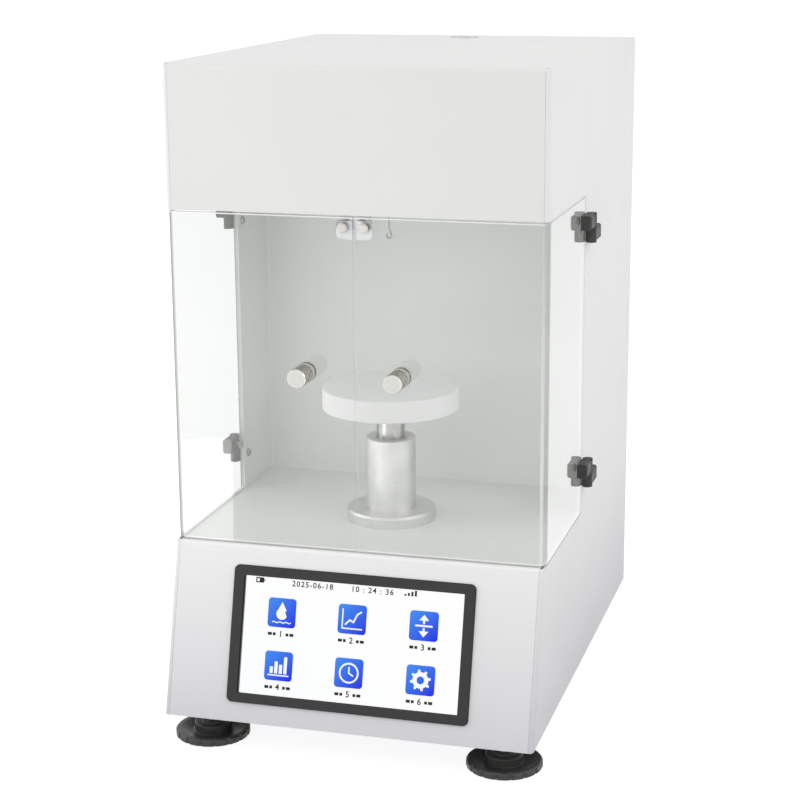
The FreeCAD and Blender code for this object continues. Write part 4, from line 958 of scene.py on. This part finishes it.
def level_face():
    """Centring ring and bubble of the level, under its lid."""
    d = Drawing({MARK: 0.0, BUBBLE: 0.06})
    d.band(d.circle((0, 0), 3.9), d.circle((0, 0), 4.3), MARK)
    bubble_edge = d.circle(BUBBLE_PLACE, BUBBLE_R)
    d.face(bubble_edge, BUBBLE)
    d.band(bubble_edge, d.circle(BUBBLE_PLACE, BUBBLE_R + 0.2), MARK)
    return d.mesh("level_face")


mark_paint = moulded("mark_paint", tint(232, 232, 228), tint(200, 200, 196), (0.45, 0.6),
                     0.00002)
add_piece("rocker_marks", rocker_marks(), "rocker", [mark_paint], rocker_matrix())
ring_ink = moulded("level_ink", tint(34, 36, 30), tint(60, 62, 54), (0.3, 0.4), 0.00001)
bubble = moulded("level_bubble", tint(232, 238, 190), tint(246, 248, 226), (0.05, 0.1),
                 0.00001, coat=1.0)
add_piece("level_face", level_face(), "cabinet", [ring_ink, bubble],
          Matrix.Translation(at(0, LEVEL_Y, HEIGHT + LEVEL_FACE_RISE)))


# --- Camera, light and floor ----------------------------------------------------------------

# Solved from the photo's perspective: metres, degrees, and the lens of a 36 mm wide sensor.
CAMERA_PLACE = (0.37236, -1.34692, 0.55848)
CAMERA_AZIMUTH, CAMERA_ELEVATION, CAMERA_ROLL = 15.90, 13.974, -0.41
CAMERA_SENSOR, CAMERA_LENS = 36.0, 87.59

# Soft boxes that face the object's middle: place, width, power and colour.
OBJECT_MIDDLE = Vector((0.0, 0.0, 0.25))
SOFTBOXES = {
    "front_light": ((-0.40, -1.90, 0.56), 0.78, 2.3, (1.0, 0.97, 0.93)),
    "side_light": ((1.30, -0.55, 0.95), 0.8, 3.4, (1.0, 0.97, 0.96)),
    "left_light": ((-1.40, -0.45, 0.75), 0.8, 3.9, (1.0, 0.97, 0.96)),
}

# Lamp that lies just above the floor, and the x where the front pane starts to mirror it.
PANEL_NEAR_Y, PANEL_FAR_Y = -0.45, -0.85
PANEL_WIDTH, PANEL_Z, PANEL_POWER = 0.36, 0.012, 1.1
FRONT_PANE_Y = -0.1475
MIRRORED_FROM = -0.088

# Strength of the sky's light at the horizon and overhead.
SKY_LOW, SKY_OVERHEAD = 0.8, 0.88

# The floor's light starts beside the object's footprint and is full a little further out.
FLOOR_HALF = 30.0
FLOOR_BOUNCE = 0.7
FOOTPRINT = (0.13, 0.18)
BOUNCE_FROM, BOUNCE_FULL = 0.02, 0.24


def area_lamp(name, power, width, matrix, colour=(1, 1, 1), length=None):
    """Studio lamp that shines against its own z axis: square, or as long as asked."""
    data = bpy.data.lights.new(name, "AREA")
    data.energy = power
    data.color = colour
    data.size = width
    if length:
        data.shape = "RECTANGLE"
        data.size_y = length
    return place(name, data, matrix)


def low_panel():
    """Lamp at the front left, where the left end of the front pane mirrors it."""
    image_y = 2 * FRONT_PANE_Y - CAMERA_PLACE[1]
    bearing = (CAMERA_PLACE[0] - MIRRORED_FROM) / (image_y - FRONT_PANE_Y)
    near, far = [Vector((CAMERA_PLACE[0] - bearing * (image_y - y), y, PANEL_Z))
                 for y in (PANEL_NEAR_Y, PANEL_FAR_Y)]
    along = (near - far).normalized()
    away = Vector((0, 0, 1)).cross(along)
    turn = Matrix((away, -along, Vector((0, 0, -1)))).transposed().to_4x4()
    middle = (near + far + away * PANEL_WIDTH) / 2
    lamp = area_lamp("low_panel", PANEL_POWER, PANEL_WIDTH, Matrix.Translation(middle) @ turn,
                     length=(near - far).length)
    lamp.visible_camera = False


def seen_share(t):
    """1 for camera, glossy and transmission rays, 0 for light that the object receives."""
    path = t.add("LightPath").outputs
    return t.most(path["Is Camera Ray"], path["Is Glossy Ray"], path["Is Transmission Ray"])


def make_world():
    """Sky that is seen as white, and lights the object a little more from overhead."""
    t = Tree("studio", world=True)
    light = t.ramp(t.split()[2], 0.0, 1.0, (SKY_LOW, SKY_OVERHEAD))
    strength = t.ramp(seen_share(t), 0.0, 1.0, (light, 1.0))
    sky = t.add("Background", {"Color": (1, 1, 1, 1), "Strength": strength}).outputs[0]
    t.add("OutputWorld", {"Surface": sky})
    bpy.context.scene.world = t.owner


def make_floor():
    """Pale floor, seen as white with a shadow. Away from the object it throws light up."""
    t = Tree("studio_floor")
    seen = seen_share(t)
    x, y, z = t.split()
    beside = [t.most(t.minus(t.size(a), half), 0.0) for a, half in zip((x, y), FOOTPRINT)]
    away = t.ramp(t.radius(*beside), BOUNCE_FROM, BOUNCE_FULL, smooth=True)
    paper = t.mix(t.clouds(3.0), (0.99, 0.99, 0.985, 1), (0.965, 0.965, 0.96, 1))
    lift = t.add("Emission", {"Color": paper, "Strength": t.times(away, FLOOR_BOUNCE)})
    shade = t.add("BsdfDiffuse", {"Color": (0.3, 0.3, 0.3, 1)})
    glow = t.add("Emission", {"Color": (1, 1, 1, 1), "Strength": 0.9})
    bright = t.add("AddShader", {0: shade.outputs[0], 1: glow.outputs[0]})
    shown = t.add("MixShader", {0: seen, 1: lift.outputs[0], 2: bright.outputs[0]})
    bm = bmesh.new()
    bmesh.ops.create_grid(bm, x_segments=4, y_segments=4, size=FLOOR_HALF)
    mesh = to_mesh(bm, "floor")
    mesh.materials.append(t.finish(shown.outputs[0]))
    floor = place("floor", mesh, Matrix.Identity(4))


def make_camera():
    """Camera that looks from an azimuth and elevation, turned by a small roll."""
    a, e = math.radians(CAMERA_AZIMUTH), math.radians(CAMERA_ELEVATION)
    back = Vector((math.sin(a) * math.cos(e), -math.cos(a) * math.cos(e), math.sin(e)))
    right = Vector((math.cos(a), math.sin(a), 0))
    up = back.cross(right)
    roll = Matrix.Rotation(math.radians(CAMERA_ROLL), 3, "Z")
    turn = Matrix((right, up, back)).transposed() @ roll
    data = bpy.data.cameras.new("camera")
    data.sensor_width = CAMERA_SENSOR
    data.lens = CAMERA_LENS
    camera = place("camera", data, Matrix.Translation(CAMERA_PLACE) @ turn.to_4x4())
    bpy.context.scene.camera = camera


make_camera()
make_world()
for name, (spot, width, power, colour) in SOFTBOXES.items():
    area_lamp(name, power, width, facing(spot, Vector(spot) - OBJECT_MIDDLE), colour)
low_panel()
make_floor()
bpy.context.scene.view_settings.view_transform = "Standard"
